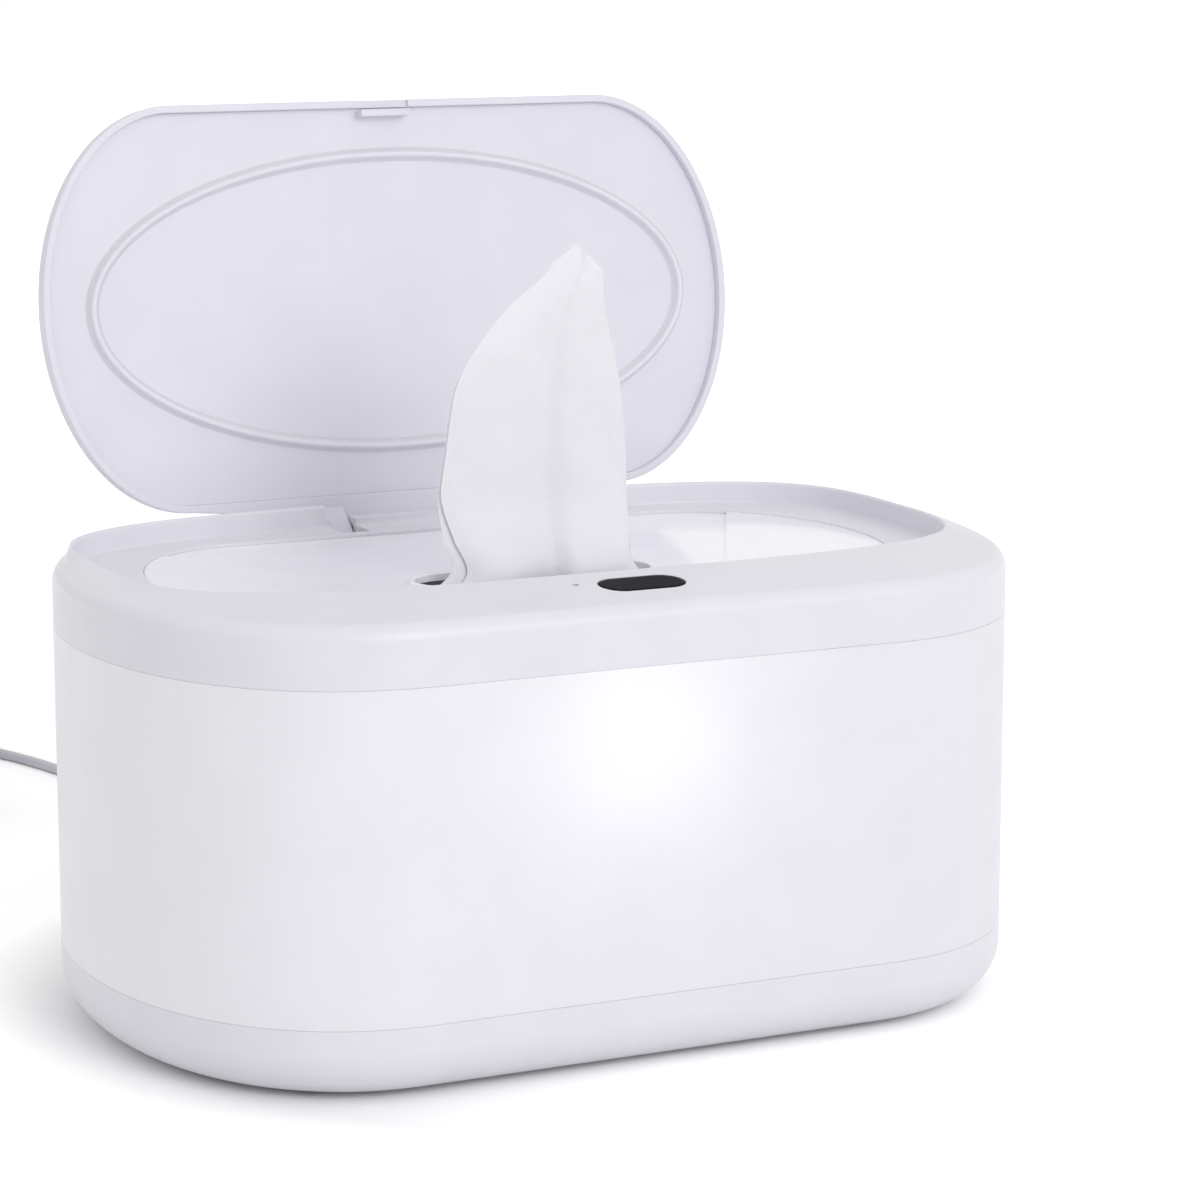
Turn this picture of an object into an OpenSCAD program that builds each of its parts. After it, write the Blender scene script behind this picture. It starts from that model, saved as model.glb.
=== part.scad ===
// Baby wipe warmer with its hinged lid standing open.
// A base tub, a light band and a top ring make the housing. Inside hang the
// heated wipe tank and its electrics, and a dispensing plate closes the tank.
// Millimetres, +Z up. The origin is on the table, under the middle of the
// open warmer. The low-voltage lead and its adapter lie behind it.

/* [Body] */
// Length of the body, end to end
body_len = 240; // [236:1:246]
// Depth of the body, front to back
body_dep = 156; // [154:0.5:158]
// Length of each curved end
body_end = 59.7; // [57:0.1:62]
// Fullness of the curved ends, where 2 is an ellipse
body_power = 2.16; // [2:0.02:2.3]
// Wall thickness of the housings
wall = 2.5; // [2.2:0.1:2.8]
// Height of the seam between base tub and light band
base_seam = 17.75; // [17:0.25:19]
// Height of the seam between light band and top ring
ring_seam = 97.65; // [95:0.05:99]
// Radius of the rolled bottom edge
base_roll = 12.3; // [10:0.1:12.5]
// Height of the shadow line at each seam
seam_gap = 0.4; // [0.2:0.1:0.8]
// Depth of the shadow line at each seam
seam_deep = 0.8; // [0.5:0.1:1.2]
// How far the rubber feet stand below the body
foot_h = 1.2; // [1:0.1:2]
// Diameter of a rubber foot
foot_d = 12; // [8:0.5:13]

/* [Rim and opening] */
// Height of the rim's crest above the underside of the body
rim_h = 115.5; // [115.3:0.1:116]
// Height at which the rim's crown meets the rolled outer edge
shoulder_h = 112.6; // [112:0.1:113]
// Radius of the rolled outer edge of the rim
rim_roll = 4.4; // [3.5:0.1:5]
// Length of the opening inside the rim
open_len = 219.8; // [218:0.2:220]
// Depth of the opening, front to back
open_dep = 120.4; // [119:0.2:121]
// Squareness of the opening's outline
open_power = 3.55; // [3.3:0.05:3.8]
// How far the opening sits behind the middle of the body
open_back = 11.1; // [10.8:0.1:11.4]
// Depth of the ledge below the crest
recess = 5.8; // [5.6:0.1:6]
// Thickness of the ledge
ledge_t = 3; // [2.8:0.1:3.2]
// Length of the display window
window_len = 22; // [18:0.5:26]
// Width of the display window
window_wid = 11; // [9:0.5:12]

/* [Lid and hinge] */
// Length of the lid
lid_len = 198; // [196:0.5:200]
// Depth of the lid, front to back
lid_dep = 106.8; // [106:0.2:107.4]
// Length of each curved end of the lid
lid_end = 37.5; // [36:0.5:40]
// How far the closed lid sits behind the middle of the body
lid_back = 7.2; // [7:0.1:7.4]
// Wall thickness of the lid's lip and top
lid_wall = 2; // [1.8:0.1:2.2]
// Rounding of the lid's outer edge
lid_roll = 1.6; // [1:0.1:1.8]
// Angle between the closed and the open lid
lid_open = 97.9; // [90:0.1:98]
// Distance of the hinge rod behind the middle of the body
pivot_y = 72; // [71.9:0.1:72.1]
// Height of the hinge rod above the underside of the body
pivot_h = 104.2; // [104.1:0.1:104.3]
// Diameter of the hinge rod
rod_d = 3; // [2.6:0.1:3.2]
// Length of the hinge rod
rod_len = 62; // [60:0.5:63]
// Running clearance round the rod, on the radius
rod_fit = 0.05; // [0.03:0.01:0.08]
// Length of the oval lid seal
seal_len = 172; // [168:1:174]
// Depth of the oval lid seal, front to back
seal_dep = 79.6; // [78:0.2:82]

/* [Tank] */
// Thickness of the tank's wall and floor
tank_wall = 2; // [1.6:0.1:2.2]
// Height of the tank floor's underside
tank_h = 17.2; // [17:0.1:18]
// Thickness of the dispensing plate
plate_t = 1.5; // [1.2:0.1:1.6]
// Length of the wipe slot in the dispensing plate
slot_len = 64; // [60:1:66]
// Width of the wipe slot in the dispensing plate
slot_wid = 18; // [16:0.5:20]

/* [Wipes] */
// Height of the stack of folded wipes
stack_h = 66; // [40:1:70]
// Height of the tip of the standing wipe
wipe_top = 190.5; // [180:0.5:192]
// Depth of the folds in the standing wipe
fold_depth = 3.4; // [2:0.2:4]
// Modelled thickness of the wipe
wipe_t = 0.8; // [0.6:0.1:1]

/* [Lead and adapter] */
// Diameter of the lead
cord_d = 3.2; // [3:0.1:3.4]
// Loops in each layer of the coil
layer_turns = 2.604; // [2.604:1:3.604]
// Layers in the coil
coil_layers = 4; // [2:2:4]
// Distance between neighbouring turns of the coil
coil_pitch = 3.7; // [3.7:0.1:4]

/* [Hidden] */

$fn = 48;
SHELL = [0.92, 0.92, 0.94];
BAND = [0.95, 0.95, 0.97];
CLEAR = [0.86, 0.88, 0.9];
BLACK = [0.06, 0.06, 0.07];
GREY = [0.35, 0.35, 0.37];
STEEL = [0.7, 0.71, 0.73];
BOARD = [0.1, 0.4, 0.22];
COPPER = [0.8, 0.5, 0.25];
CLOTH = [0.98, 0.98, 0.98];

// Points in a quarter of an outline
QUARTER = 16;

// Heights worked out from the driving sizes
ledge_h = rim_h - recess;
ledge_under = ledge_h - ledge_t;
lip_h = ledge_h + 0.15;
liner_t = 1.3;
liner_h = rim_h - lid_wall - liner_t;
flange_t = 2;
plate_h = ledge_under - 0.8;
plate_top = ledge_h - 0.2;
plate_low = plate_top - plate_t;
latch_low = ledge_h - 1.9;
tank_floor = tank_h + tank_wall;
stack_top = tank_floor + stack_h;

// Half sizes of the lid, the mouth in the ledge and the tank
lid_x = lid_len / 2;
lid_y = lid_dep / 2;
mouth_in = 2.5;
mouth_x = lid_x - mouth_in;
mouth_y = lid_y - mouth_in;
mouth_end = lid_end - mouth_in;
mouth_front = lid_back - mouth_y;
tank_x = mouth_x - 2;
tank_y = mouth_y - 2;
tank_end = mouth_end - 2;

// The open lid leans out behind the body, so the middle of the whole lies back
roll_reach = 0.128 * lid_roll;
lid_reach = pivot_y + (lid_back - lid_y - pivot_y) * cos(lid_open)
    + (rim_h - pivot_h) * sin(lid_open) - roll_reach;
body_y = -(lid_reach - body_dep / 2) / 2;

// Screw columns and feet, as distances from the middle
column_x = 84;
column_y = 56;
column_r = 4;
foot_x = 62;
foot_y = 50;
leg_x = 84;
leg_y = 20;

// Hinge: arms on the lid, lugs on the ring, and a bay where the rear crest is lower
arm_in = 19.8;
arm_out = 26.1;
slot_in = 19.2;
slot_out = 26.7;
lug_in = 27.2;
lug_out = 32;
barrel_r = 3.2;
block_x = 18.8;
bay_x = 28;
bay_h = 111.4;

// Electrics
board_h = 12;
board_t = 1.6;
board_y = -58;
board_screw_x = 44;
led_x = -8.5;
led_h = 81.5;
jack_x = -30;
jack_h = 10.5;
window_y = -61.5;
window_top = 114.35;
crown_slope = 6;
display_h = 105;
display_screw_x = 24;
lens_x = -16;
lens_y = -58.5;

// Lead: radii, plug and coil places, in the body's own frame
cord_r = cord_d / 2;
plug_y = 78.2;
plug_len = 18;
relief_len = 12;
coil_x = -80;
coil_y = 330;
coil_out = 22.8;
coil_start = 30;
coil_sweep = 360 * layer_turns * coil_layers;
exit_y = 290;
adapter_x = -103;
adapter_y = 236;
adapter_size = [26, 44, 25];

// Outline with straight long sides and curved ends, counter-clockwise from above
function bend(c, power) = sign(c) * pow(abs(c), 2 / power);
function turn_list() = concat(
    [for (i = [0:QUARTER]) [i * 90 / QUARTER, 1]],
    [for (i = [0:QUARTER - 1]) [90 + i * 90 / QUARTER, -1]],
    [for (i = [0:QUARTER]) [180 + i * 90 / QUARTER, -1]],
    [for (i = [0:QUARTER - 1]) [270 + i * 90 / QUARTER, 1]]);
function oval(hx, hy, end, power, cy = 0) = [for (t = turn_list())
    [t[1] * (hx - end) + end * bend(cos(t[0]), power), cy + hy * bend(sin(t[0]), power)]];

// The main outlines, drawn in by d
function body_line(d) = oval(body_len / 2 - d, body_dep / 2 - d, body_end - d, body_power);
function open_line(d) = oval(open_len / 2 - d, open_dep / 2 - d, open_len / 2 - d - 2, open_power, open_back);
function lid_line(d) = oval(lid_x - d, lid_y - d, lid_end - d, 2, lid_back);
function mouth_line(d) = oval(mouth_x - d, mouth_y - d, mouth_end - d, 2, lid_back);
function tank_line(d) = oval(tank_x - d, tank_y - d, tank_end - d, 2, lid_back);
function mix(a, b, f) = [for (i = [0:len(a) - 1]) a[i] * (1 - f) + b[i] * f];
function lift(line, z) = [for (p = line) [p[0], p[1], z]];

// Skin between rings of equal point count; a closed loft joins its last ring to its first
function side_faces(n, rows, closed) = [for (k = [0:rows - (closed ? 1 : 2)]) for (i = [0:n - 1])
    let (j = (i + 1) % n, a = k * n, b = ((k + 1) % rows) * n)
    for (f = [[a + i, b + i, b + j], [a + i, b + j, a + j]]) f];
function cap_faces(n, rows) = [[for (i = [0:n - 1]) i], [for (i = [n - 1:-1:0]) (rows - 1) * n + i]];
module loft(rings, closed = false) {
    n = len(rings[0]);
    rows = len(rings);
    caps = closed ? [] : cap_faces(n, rows);
    polyhedron([for (ring = rings) each ring], concat(side_faces(n, rows, closed), caps));
}

// Everything on the warmer is drawn round the body's middle, from its underside up
module in_place() translate([0, body_y, foot_h]) children();
module open_lid() in_place() translate([0, pivot_y, pivot_h]) rotate([-lid_open, 0, 0])
    translate([0, -pivot_y, -pivot_h]) children();
module plate(line, z, t) translate([0, 0, z]) linear_extrude(t) polygon(line);
module tube(line, hole, z, t) translate([0, 0, z]) linear_extrude(t) difference() {
    polygon(line);
    polygon(hole);
}
module stadium(length, width) {
    square([length - width, width], center = true);
    for (s = [-1, 1]) translate([s * (length - width) / 2, 0]) circle(width / 2);
}
module rounded(x, y, r) {
    square([x - 2 * r, y], center = true);
    square([x, y - 2 * r], center = true);
    for (sx = [-1, 1], sy = [-1, 1]) translate([sx * (x / 2 - r), sy * (y / 2 - r)]) circle(r);
}
module block(x, y, z) translate([x[0], y[0], z[0]]) cube([x[1] - x[0], y[1] - y[0], z[1] - z[0]]);
module along_x(x0, x1, r, y, z) translate([x0, y, z]) rotate([0, 90, 0]) cylinder(h = x1 - x0, r = r);
module along_y(y0, y1, r, x, z) translate([x, y0, z]) rotate([-90, 0, 0]) cylinder(h = y1 - y0, r = r);
function corner(i, x, y) = [(i % 2 == 1 ? 1 : -1) * x, (i <= 2 ? -1 : 1) * y];

// Base tub: rolled underside, floor, screw pads and posts
tub_rings = concat(
    [for (a = [0:15:90]) lift(body_line(base_roll * (1 - sin(a))), base_roll * (1 - cos(a)))],
    [lift(body_line(0), base_seam - seam_gap / 2), lift(body_line(seam_deep), base_seam - seam_gap / 2)],
    [lift(body_line(seam_deep), base_seam), lift(body_line(wall), base_seam)],
    [for (a = [90:-30:0]) lift(body_line(wall + (base_roll - wall) * (1 - sin(a))),
        wall + (base_roll - wall) * (1 - cos(a)))]);
module base_tub() color(SHELL) in_place() difference() {
    union() {
        loft(tub_rings);
        for (i = [1:4]) translate(corner(i, column_x, column_y)) translate([0, 0, 1.5])
            cylinder(h = 5, r = 5.5);
        for (i = [1:4]) translate(corner(i, leg_x, leg_y)) translate([0, lid_back, 1.5])
            cylinder(h = 8, r = 4);
        for (s = [-1, 1]) translate([s * board_screw_x, board_y, 1.5]) cylinder(h = board_h - 1.5, r = 3.5);
    }
    for (i = [1:4]) translate(corner(i, column_x, column_y)) {
        translate([0, 0, -1]) cylinder(h = 3.6, r = 3.3);
        cylinder(h = 8, r = 1.7);
    }
    for (i = [1:4]) translate(corner(i, foot_x, foot_y)) translate([0, 0, -1])
        cylinder(h = 2, d = foot_d + 0.2);
    for (s = [-1, 1]) translate([s * board_screw_x, board_y, 4]) cylinder(h = 9, r = 1.27);
    along_y(70, 80, 5.1, jack_x, jack_h);
}

module rubber_foot(i) color(GREY) in_place() translate(corner(i, foot_x, foot_y))
    translate([0, 0, -foot_h]) cylinder(h = foot_h + 1, d = foot_d);

// Case screws come up from below into the ring's long columns
module case_screw(i) color(STEEL) in_place() translate(corner(i, column_x, column_y)) difference() {
    union() {
        translate([0, 0, 0.5]) cylinder(h = 2.1, r = 2.9);
        translate([0, 0, 2.6]) cylinder(h = 13.4, r = 1.5);
    }
    for (a = [0, 90]) rotate([0, 0, a]) translate([-1.8, -0.35, 0.3]) cube([3.6, 0.7, 1.2]);
}

module light_band() color(BAND) in_place() {
    low = base_seam + seam_gap / 2;
    high = ring_seam - seam_gap / 2;
    tube(body_line(seam_deep), body_line(wall), base_seam, ring_seam - base_seam);
    tube(body_line(0), body_line(seam_deep), low, high - low);
}

// Top ring: outer wall, rolled edge, crown, crest, recess, ledge and underside in one loft
ring_low = ring_seam + seam_gap / 2;
roll_turn = 68;
roll_h = shoulder_h - rim_roll * sin(roll_turn);
crest_r = 0.8;
shoulder_line = body_line(rim_roll * (1 - cos(roll_turn)));
crest_line = open_line(-crest_r);
crown = rim_h - shoulder_h;
ring_rings = concat(
    [lift(body_line(wall), ring_seam), lift(body_line(seam_deep), ring_seam)],
    [lift(body_line(seam_deep), ring_low), lift(body_line(0), ring_low)],
    [for (a = [0, 17, 34, 51, roll_turn])
        lift(body_line(rim_roll * (1 - cos(a))), roll_h + rim_roll * sin(a))],
    [for (f = [0.25, 0.5, 0.75, 1])
        lift(mix(shoulder_line, crest_line, f), shoulder_h + crown * pow(f, 0.85))],
    [for (a = [45, 90]) lift(open_line(-crest_r * (1 - sin(a))), rim_h - crest_r * (1 - cos(a)))],
    [lift(open_line(0.05), ledge_h), lift(mouth_line(0), ledge_h), lift(mouth_line(0), ledge_under)],
    [lift(open_line(-2), ledge_under), lift(open_line(-2.2), rim_h - 5.2)],
    [lift(mix(body_line(wall + 1.6), open_line(-2.2), 0.15), shoulder_h - 3.4)],
    [lift(body_line(wall), roll_h - 1)]);
// Side view of the room that the lid's arms swing through, down to their stop
arm_room = [[61, 125], [61, 101.7], [74.5, 101.7], [79, 108.53], [79, 125]];
module side_cut(x0, x1, shape) translate([x0, 0, 0]) rotate([90, 0, 90])
    linear_extrude(x1 - x0) polygon(shape);
module top_ring() color(SHELL) in_place() difference() {
    union() {
        loft(ring_rings, closed = true);
        for (i = [1:4]) translate(corner(i, column_x, column_y)) translate([0, 0, 6.5])
            cylinder(h = (i <= 2 ? 105.5 : 101.2), r = column_r);
        for (s = [-1, 1]) translate([s * display_screw_x, window_y, display_h + board_t])
            cylinder(h = 5.5, r = 2.6);
        block([-block_x, block_x], [66.5, 75.8], [100.2, ledge_under + 0.8]);
        for (x = [lug_in, -lug_out])
            block([x, x + lug_out - lug_in], [66.5, 75.8], [100.2, ledge_under + 0.8]);
    }
    for (i = [1:4]) translate(corner(i, column_x, column_y)) translate([0, 0, 5]) cylinder(h = 13, r = 1.52);
    for (s = [-1, 1]) translate([s * display_screw_x, window_y, display_h]) cylinder(h = 6, r = 1.02);
    side_cut(slot_in, slot_out, arm_room);
    side_cut(-slot_out, -slot_in, arm_room);
    block([-bay_x, bay_x], [66, 80], [bay_h, rim_h + 5]);
    along_x(-lug_out - 1, lug_out + 1, rod_d / 2 + rod_fit, pivot_y, pivot_h);
    translate([0, window_y, window_top]) rotate([crown_slope, 0, 0]) translate([0, 0, -9])
        linear_extrude(12) stadium(window_len + 0.3, window_wid + 0.3);
    translate([lens_x, lens_y, 104]) cylinder(h = 14, r = 0.9);
    block([-9, 7], [mouth_front - 0.5, mouth_front + 1], [latch_low - 0.2, latch_low + 1.1]);
}

// Tank: a flanged tub that hangs in the ledge and stands on four legs
module inner_tank() color(CLEAR) in_place() difference() {
    union() {
        plate(tank_line(0), tank_h, ledge_under - tank_h);
        plate(mouth_line(-mouth_in), ledge_under - flange_t, flange_t);
        for (i = [1:4]) translate(corner(i, leg_x, leg_y)) translate([0, lid_back, 9.5])
            cylinder(h = tank_h - 9.5, r = 4);
    }
    plate(tank_line(tank_wall), tank_floor, 100);
    plate(mouth_line(0.3), plate_h, 10);
}

pad_line = oval(76, 42, 22, 2.4, lid_back);
thermostat_x = 26;
fuse_x = -26;
module heater_plate() color(STEEL) in_place() plate(pad_line, tank_h - 1.5, 1.5);
module heater_film() color(COPPER) in_place() plate(pad_line, tank_h - 1.9, 0.4);
module insulation_pad() color(GREY) in_place() translate([0, 0, tank_h - 7.4]) linear_extrude(5.5)
    difference() {
        polygon(pad_line);
        translate([thermostat_x, lid_back]) circle(9);
        translate([fuse_x, lid_back]) square([22, 8], center = true);
    }
module thermostat() color(STEEL) in_place() translate([thermostat_x, lid_back, tank_h - 6.9]) {
    cylinder(h = 5, r = 8);
    for (s = [-1, 1]) translate([s * 5 - 1.5, -0.4, -3]) cube([3, 0.8, 3.5]);
}
module thermal_fuse() color(STEEL) in_place() {
    along_x(fuse_x - 6, fuse_x + 6, 2, lid_back, tank_h - 3.9);
    along_x(fuse_x - 10, fuse_x + 10, 0.5, lid_back, tank_h - 3.9);
}

// Circuit boards, light and display
module main_board() color(BOARD) in_place() difference() {
    union() {
        block([-52, 52], [-69, -46], [board_h, board_h + board_t]);
        block([18, 34], [-66, -52], [board_h, board_h + 9]);
        for (x = [-34, -26]) translate([x, -52, board_h]) cylinder(h = 11, r = 3);
    }
    for (s = [-1, 1]) translate([s * board_screw_x, board_y, board_h - 1]) cylinder(h = 4, r = 1.4);
}
module board_screw(i) color(STEEL) in_place()
    translate([i == 1 ? -board_screw_x : board_screw_x, board_y, 0]) {
        translate([0, 0, 6]) cylinder(h = board_h + board_t - 6, r = 1.25);
        translate([0, 0, board_h + board_t]) cylinder(h = 1.6, r = 2.3);
    }
module night_light_board() color(BOARD) in_place()
    block([led_x - 13, led_x + 13], [-65.6, -64], [board_h + board_t, 92]);
module night_light_led() color(CLOTH) in_place() {
    for (x = [led_x - 8, led_x, led_x + 8])
        block([x - 1.75, x + 1.75], [-67.2, -65.6], [led_h - 1.75, led_h + 1.75]);
    block([led_x - 10, led_x + 10], [-66, -65.6], [led_h - 2.6, led_h + 2.6]);
}
module display_board() color(BOARD) in_place() difference() {
    block([-29, 29], [-68.5, -54], [display_h, display_h + board_t]);
    for (s = [-1, 1]) translate([s * display_screw_x, window_y, display_h - 1]) cylinder(h = 4, r = 1.1);
}
module display_screw(i) color(STEEL) in_place()
    translate([i == 1 ? -display_screw_x : display_screw_x, window_y, 0]) {
        translate([0, 0, display_h]) cylinder(h = 5.6, r = 1);
        translate([0, 0, display_h - 1.4]) cylinder(h = 1.4, r = 2);
    }
module display_module() color(BLACK) in_place()
    block([-8, 8], [window_y - 4, window_y + 4], [display_h + board_t, 111.2]);
module display_window() color(BLACK) in_place() translate([0, window_y, window_top])
    rotate([crown_slope, 0, 0]) translate([0, 0, -2.4]) linear_extrude(2.4) stadium(window_len, window_wid);
module indicator_lens() color(GREY) in_place() translate([lens_x, lens_y, display_h + board_t])
    cylinder(h = 7.8, r = 0.85);
module dc_jack() color(BLACK) in_place() difference() {
    union() {
        along_y(66, 78.2, 5, jack_x, jack_h);
        block([jack_x - 6, jack_x + 6], [63, 71.5], [5.2, 15.8]);
    }
    along_y(67, 79, 2.8, jack_x, jack_h);
}

// Dispensing plate: nearly flush with the ledge, on a rim that stands in the tank's flange.
// It has a fan-shaped panel between two wings, a lipped wipe slot and a notch for the latch.
slot_x = -6;
slot_y = -14.8;
wipe_y = -10;
lip_w = 1.6;
lip_rise = 0.3;
function slot_ring(d) = [for (p = oval(slot_len / 2 + d, slot_wid / 2 + d, slot_wid / 2 + d, 2, slot_y))
    [p[0] + slot_x, p[1]]];
fan = [[-39, -30], [39, -30], [86, 60], [-86, 60]];
module dispensing_plate() color(CLEAR) in_place() difference() {
    union() {
        tube(mouth_line(0.5), mouth_line(2.5), plate_h, plate_top - plate_h);
        plate(mouth_line(0.5), plate_low, plate_t - 0.6);
        translate([0, 0, plate_low]) linear_extrude(plate_t) difference() {
            polygon(mouth_line(0.5));
            polygon(fan);
        }
        plate(slot_ring(lip_w), plate_low, plate_t + lip_rise);
    }
    plate(slot_ring(0), plate_low - 1, 6);
    block([-9.5, 7.5], [mouth_front - 1, mouth_front + 2.6], [plate_h - 1, plate_top + 1]);
}

module hinge_rod() color(STEEL) in_place() along_x(-rod_len / 2, rod_len / 2, rod_d / 2, pivot_y, pivot_h);

// The wipes: a folded stack, and one wipe drawn up through the slot
module wipe_stack() color(CLOTH) in_place()
    plate(oval(86, 42, 26, 2.8, lid_back), tank_floor, stack_h);
left_edge = [[85, -24.5], [109.5, -26.8], [118.3, -27.8], [129.1, -29.7], [140.9, -27.8], [148.7, -26.8],
    [156.5, -25.3], [165.4, -19.9], [176.1, -10.2], [184, 0.4], [186.9, 1.2]];
right_edge = [[85, 18.6], [108.5, 22.9], [130.1, 21], [159.5, 18.4], [176.1, 14.8], [184, 14.3]];
tip_share = 0.43;
WIPE_ROWS = 18;
WIPE_COLS = 16;
function tip_h(u) = wipe_top - (u < tip_share ? 4.5 * (tip_share - u) / tip_share
    : 7 * (u - tip_share) / (1 - tip_share));
function wipe_point(u, v) = let (z = stack_top + 0.05 + v * (tip_h(u) - stack_top), rise = 1 - 0.55 * v)
    [lookup(z, left_edge) * (1 - u) + lookup(z, right_edge) * u,
     wipe_y + rise * (fold_depth * cos(540 * u + 60 * v) - 2 * u), z];
function wipe_ring(v) = concat([for (c = [0:WIPE_COLS]) wipe_point(c / WIPE_COLS, v) - [0, wipe_t / 2, 0]],
    [for (c = [WIPE_COLS:-1:0]) wipe_point(c / WIPE_COLS, v) + [0, wipe_t / 2, 0]]);
module wipe_sheet() color(CLOTH) in_place() strip_loft([for (r = [0:WIPE_ROWS]) wipe_ring(r / WIPE_ROWS)]);
// A loft whose two ends are closed by strips, for a folded sheet
function strip_faces(n, base, flip) = [for (c = [0:n / 2 - 2])
    let (a = base + c, b = base + c + 1, d = base + n - 2 - c, e = base + n - 1 - c)
    for (f = flip ? [[a, d, b], [a, e, d]] : [[a, b, d], [a, d, e]]) f];
module strip_loft(rings) {
    n = len(rings[0]);
    rows = len(rings);
    polyhedron([for (ring = rings) each ring],
        concat(side_faces(n, rows, false), strip_faces(n, 0, false), strip_faces(n, (rows - 1) * n, true)));
}

// Lid, drawn closed and swung open about the rod
lid_rings = concat([lift(lid_line(0), lip_h)],
    [for (a = [0:30:90]) lift(lid_line(lid_roll * (1 - cos(a))), rim_h - lid_roll * (1 - sin(a)))]);
arm_shape = [[59.2, 110], [61.6, 110], [70.4, 101.6], [72, 104.2], [73.38, 107.09],
    [60.6, 113.2], [59.2, 113.2]];
module lid_arm(x0, x1) {
    side_cut(x0, x1, arm_shape);
    along_x(x0, x1, barrel_r, pivot_y, pivot_h);
}
// Skirt along the lid's rear edge, with a tab that fills the bay when the lid stands open
lid_rear = lid_back + lid_y;
skirt_x = lid_x - lid_end;
skirt_out = 1.1;
skirt_h = 3.35;
tab_x = 27.3;
tab_out = 4.2;
skirt = [[-skirt_x, lid_rear - 1.2], [skirt_x, lid_rear - 1.2], [skirt_x, lid_rear],
    [50, lid_rear + skirt_out], [tab_x, lid_rear + skirt_out], [tab_x, lid_rear + tab_out],
    [-tab_x, lid_rear + tab_out], [-tab_x, lid_rear + skirt_out], [-50, lid_rear + skirt_out],
    [-skirt_x, lid_rear]];
module lid_shell() color(SHELL) open_lid() difference() {
    union() {
        difference() {
            loft(lid_rings);
            plate(lid_line(lid_wall), lip_h - 1, liner_h + liner_t - lip_h + 1);
        }
        plate(skirt, lip_h, skirt_h);
        lid_arm(arm_in, arm_out);
        lid_arm(-arm_out, -arm_in);
    }
    along_x(-arm_out - 1, arm_out + 1, rod_d / 2 + rod_fit, pivot_y, pivot_h);
    block([-9.4, 7.4], [lid_back - lid_y - 1, lid_back - lid_y + lid_wall + 1], [lip_h - 1, lip_h + 1.1]);
}
module lid_liner() color(SHELL) open_lid() plate(lid_line(lid_wall + 0.1), liner_h, liner_t);
seal_low = plate_top + 0.2;
function seal_line(d) = oval(seal_len / 2 - d, seal_dep / 2 - d, seal_len / 2 - d - 0.5, 2, lid_back);
module lid_seal() color(SHELL) open_lid() {
    tube(seal_line(0), seal_line(1.7), seal_low, liner_h - seal_low);
    tube(seal_line(-1), seal_line(2.7), liner_h - 0.9, 0.9);
}
// Latch tongue: it reaches into the mouth, and its bead faces a groove in the mouth's wall
module lid_latch() color(SHELL) open_lid() {
    block([-8, 6], [mouth_front + 0.5, mouth_front + 1.9], [latch_low, liner_h]);
    block([-8, 6], [mouth_front + 0.1, mouth_front + 0.5], [latch_low + 0.1, latch_low + 0.8]);
}

// Lead: plug, free run, coil with its tail, tie and wall adapter
module dc_plug() color(BLACK) in_place() {
    along_y(69, plug_y, 2.75, jack_x, jack_h);
    along_y(plug_y, plug_y + plug_len, 4.6, jack_x, jack_h);
}
relief_y = plug_y + plug_len;
module plug_relief() color(BLACK) in_place() translate([jack_x, relief_y, jack_h]) rotate([-90, 0, 0])
    cylinder(h = relief_len, r1 = 3.4, r2 = 2);

// Route of the free run, in the body's own frame, with heights above the table
route = [
    [-30, 112, 11.7], [-30, 119, 11], [-30, 126, 9], [-30, 133, 6.2], [-30, 140, 3.6], [-30, 147, 2],
    [-30, 155, 1.6], [-29.5, 163, 1.6], [-29, 171, 1.6], [-28.5, 179, 1.6], [-28, 187, 1.6], [-28, 195, 1.6],
    [-28, 203, 1.6], [-28, 211, 1.6], [-28.2, 219, 1.6], [-28.5, 227, 1.6], [-29, 235, 1.6],
    [-29.7, 243, 1.6], [-30.6, 251, 1.6], [-31.7, 259, 1.6], [-33, 267, 1.6], [-34.5, 275, 1.6],
    [-36.2, 283, 1.6],
    [-38.2, 291, 1.6], [-40.5, 299, 1.6], [-43.2, 307, 1.6], [-46.4, 315, 1.6], [-50, 322.4, 1.6]];

// Sweep a round tube of given sides along points, upright to the table
function unit(v) = v / norm(v);
function heading(p, i) = unit(p[min(i + 1, len(p) - 1)] - p[max(i - 1, 0)]);
function tube_ring(p, i, r, sides) =
    let (t = heading(p, i), side = unit(cross(t, [0, 0, 1])), up = cross(side, t))
    [for (k = [0:sides - 1]) let (a = k * 360 / sides - 90) p[i] + r * (sin(a) * up - cos(a) * side)];
module sweep(points, r, sides) loft([for (i = [0:len(points) - 1]) tube_ring(points, i, r, sides)]);

// Coil: the spiral winds in and out, and climbs a layer in the half turn where it reverses
layer_sweep = 360 * layer_turns;
tie_turn = 270;
function wave(s) = let (k = floor(s / layer_sweep), f = s / layer_sweep - k) k % 2 == 0 ? f : 1 - f;
function coil_radius(s) = coil_out - coil_pitch * layer_turns * wave(s);
function climb(s) = let (k = round(s / layer_sweep), d = s - k * layer_sweep)
    k <= 0 ? 0 : k >= coil_layers ? coil_layers - 1 : k - 1 + max(0, min(1, 0.5 + d / 180));
function away(a) = min(abs(a % 360 - tie_turn), 360 - abs(a % 360 - tie_turn));
function over_tie(a) = 1.1 * exp(-pow(away(a) / 24, 2));
function coil_point(s) = let (a = coil_start + s)
    [coil_x + coil_radius(s) * cos(a), coil_y + coil_radius(s) * sin(a),
     cord_r + coil_pitch * climb(s) + over_tie(a)];
COIL_STEP = 15;
coil_top = cord_r + coil_pitch * (coil_layers - 1);
start_way = [sin(coil_start), -cos(coil_start), 0];
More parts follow.
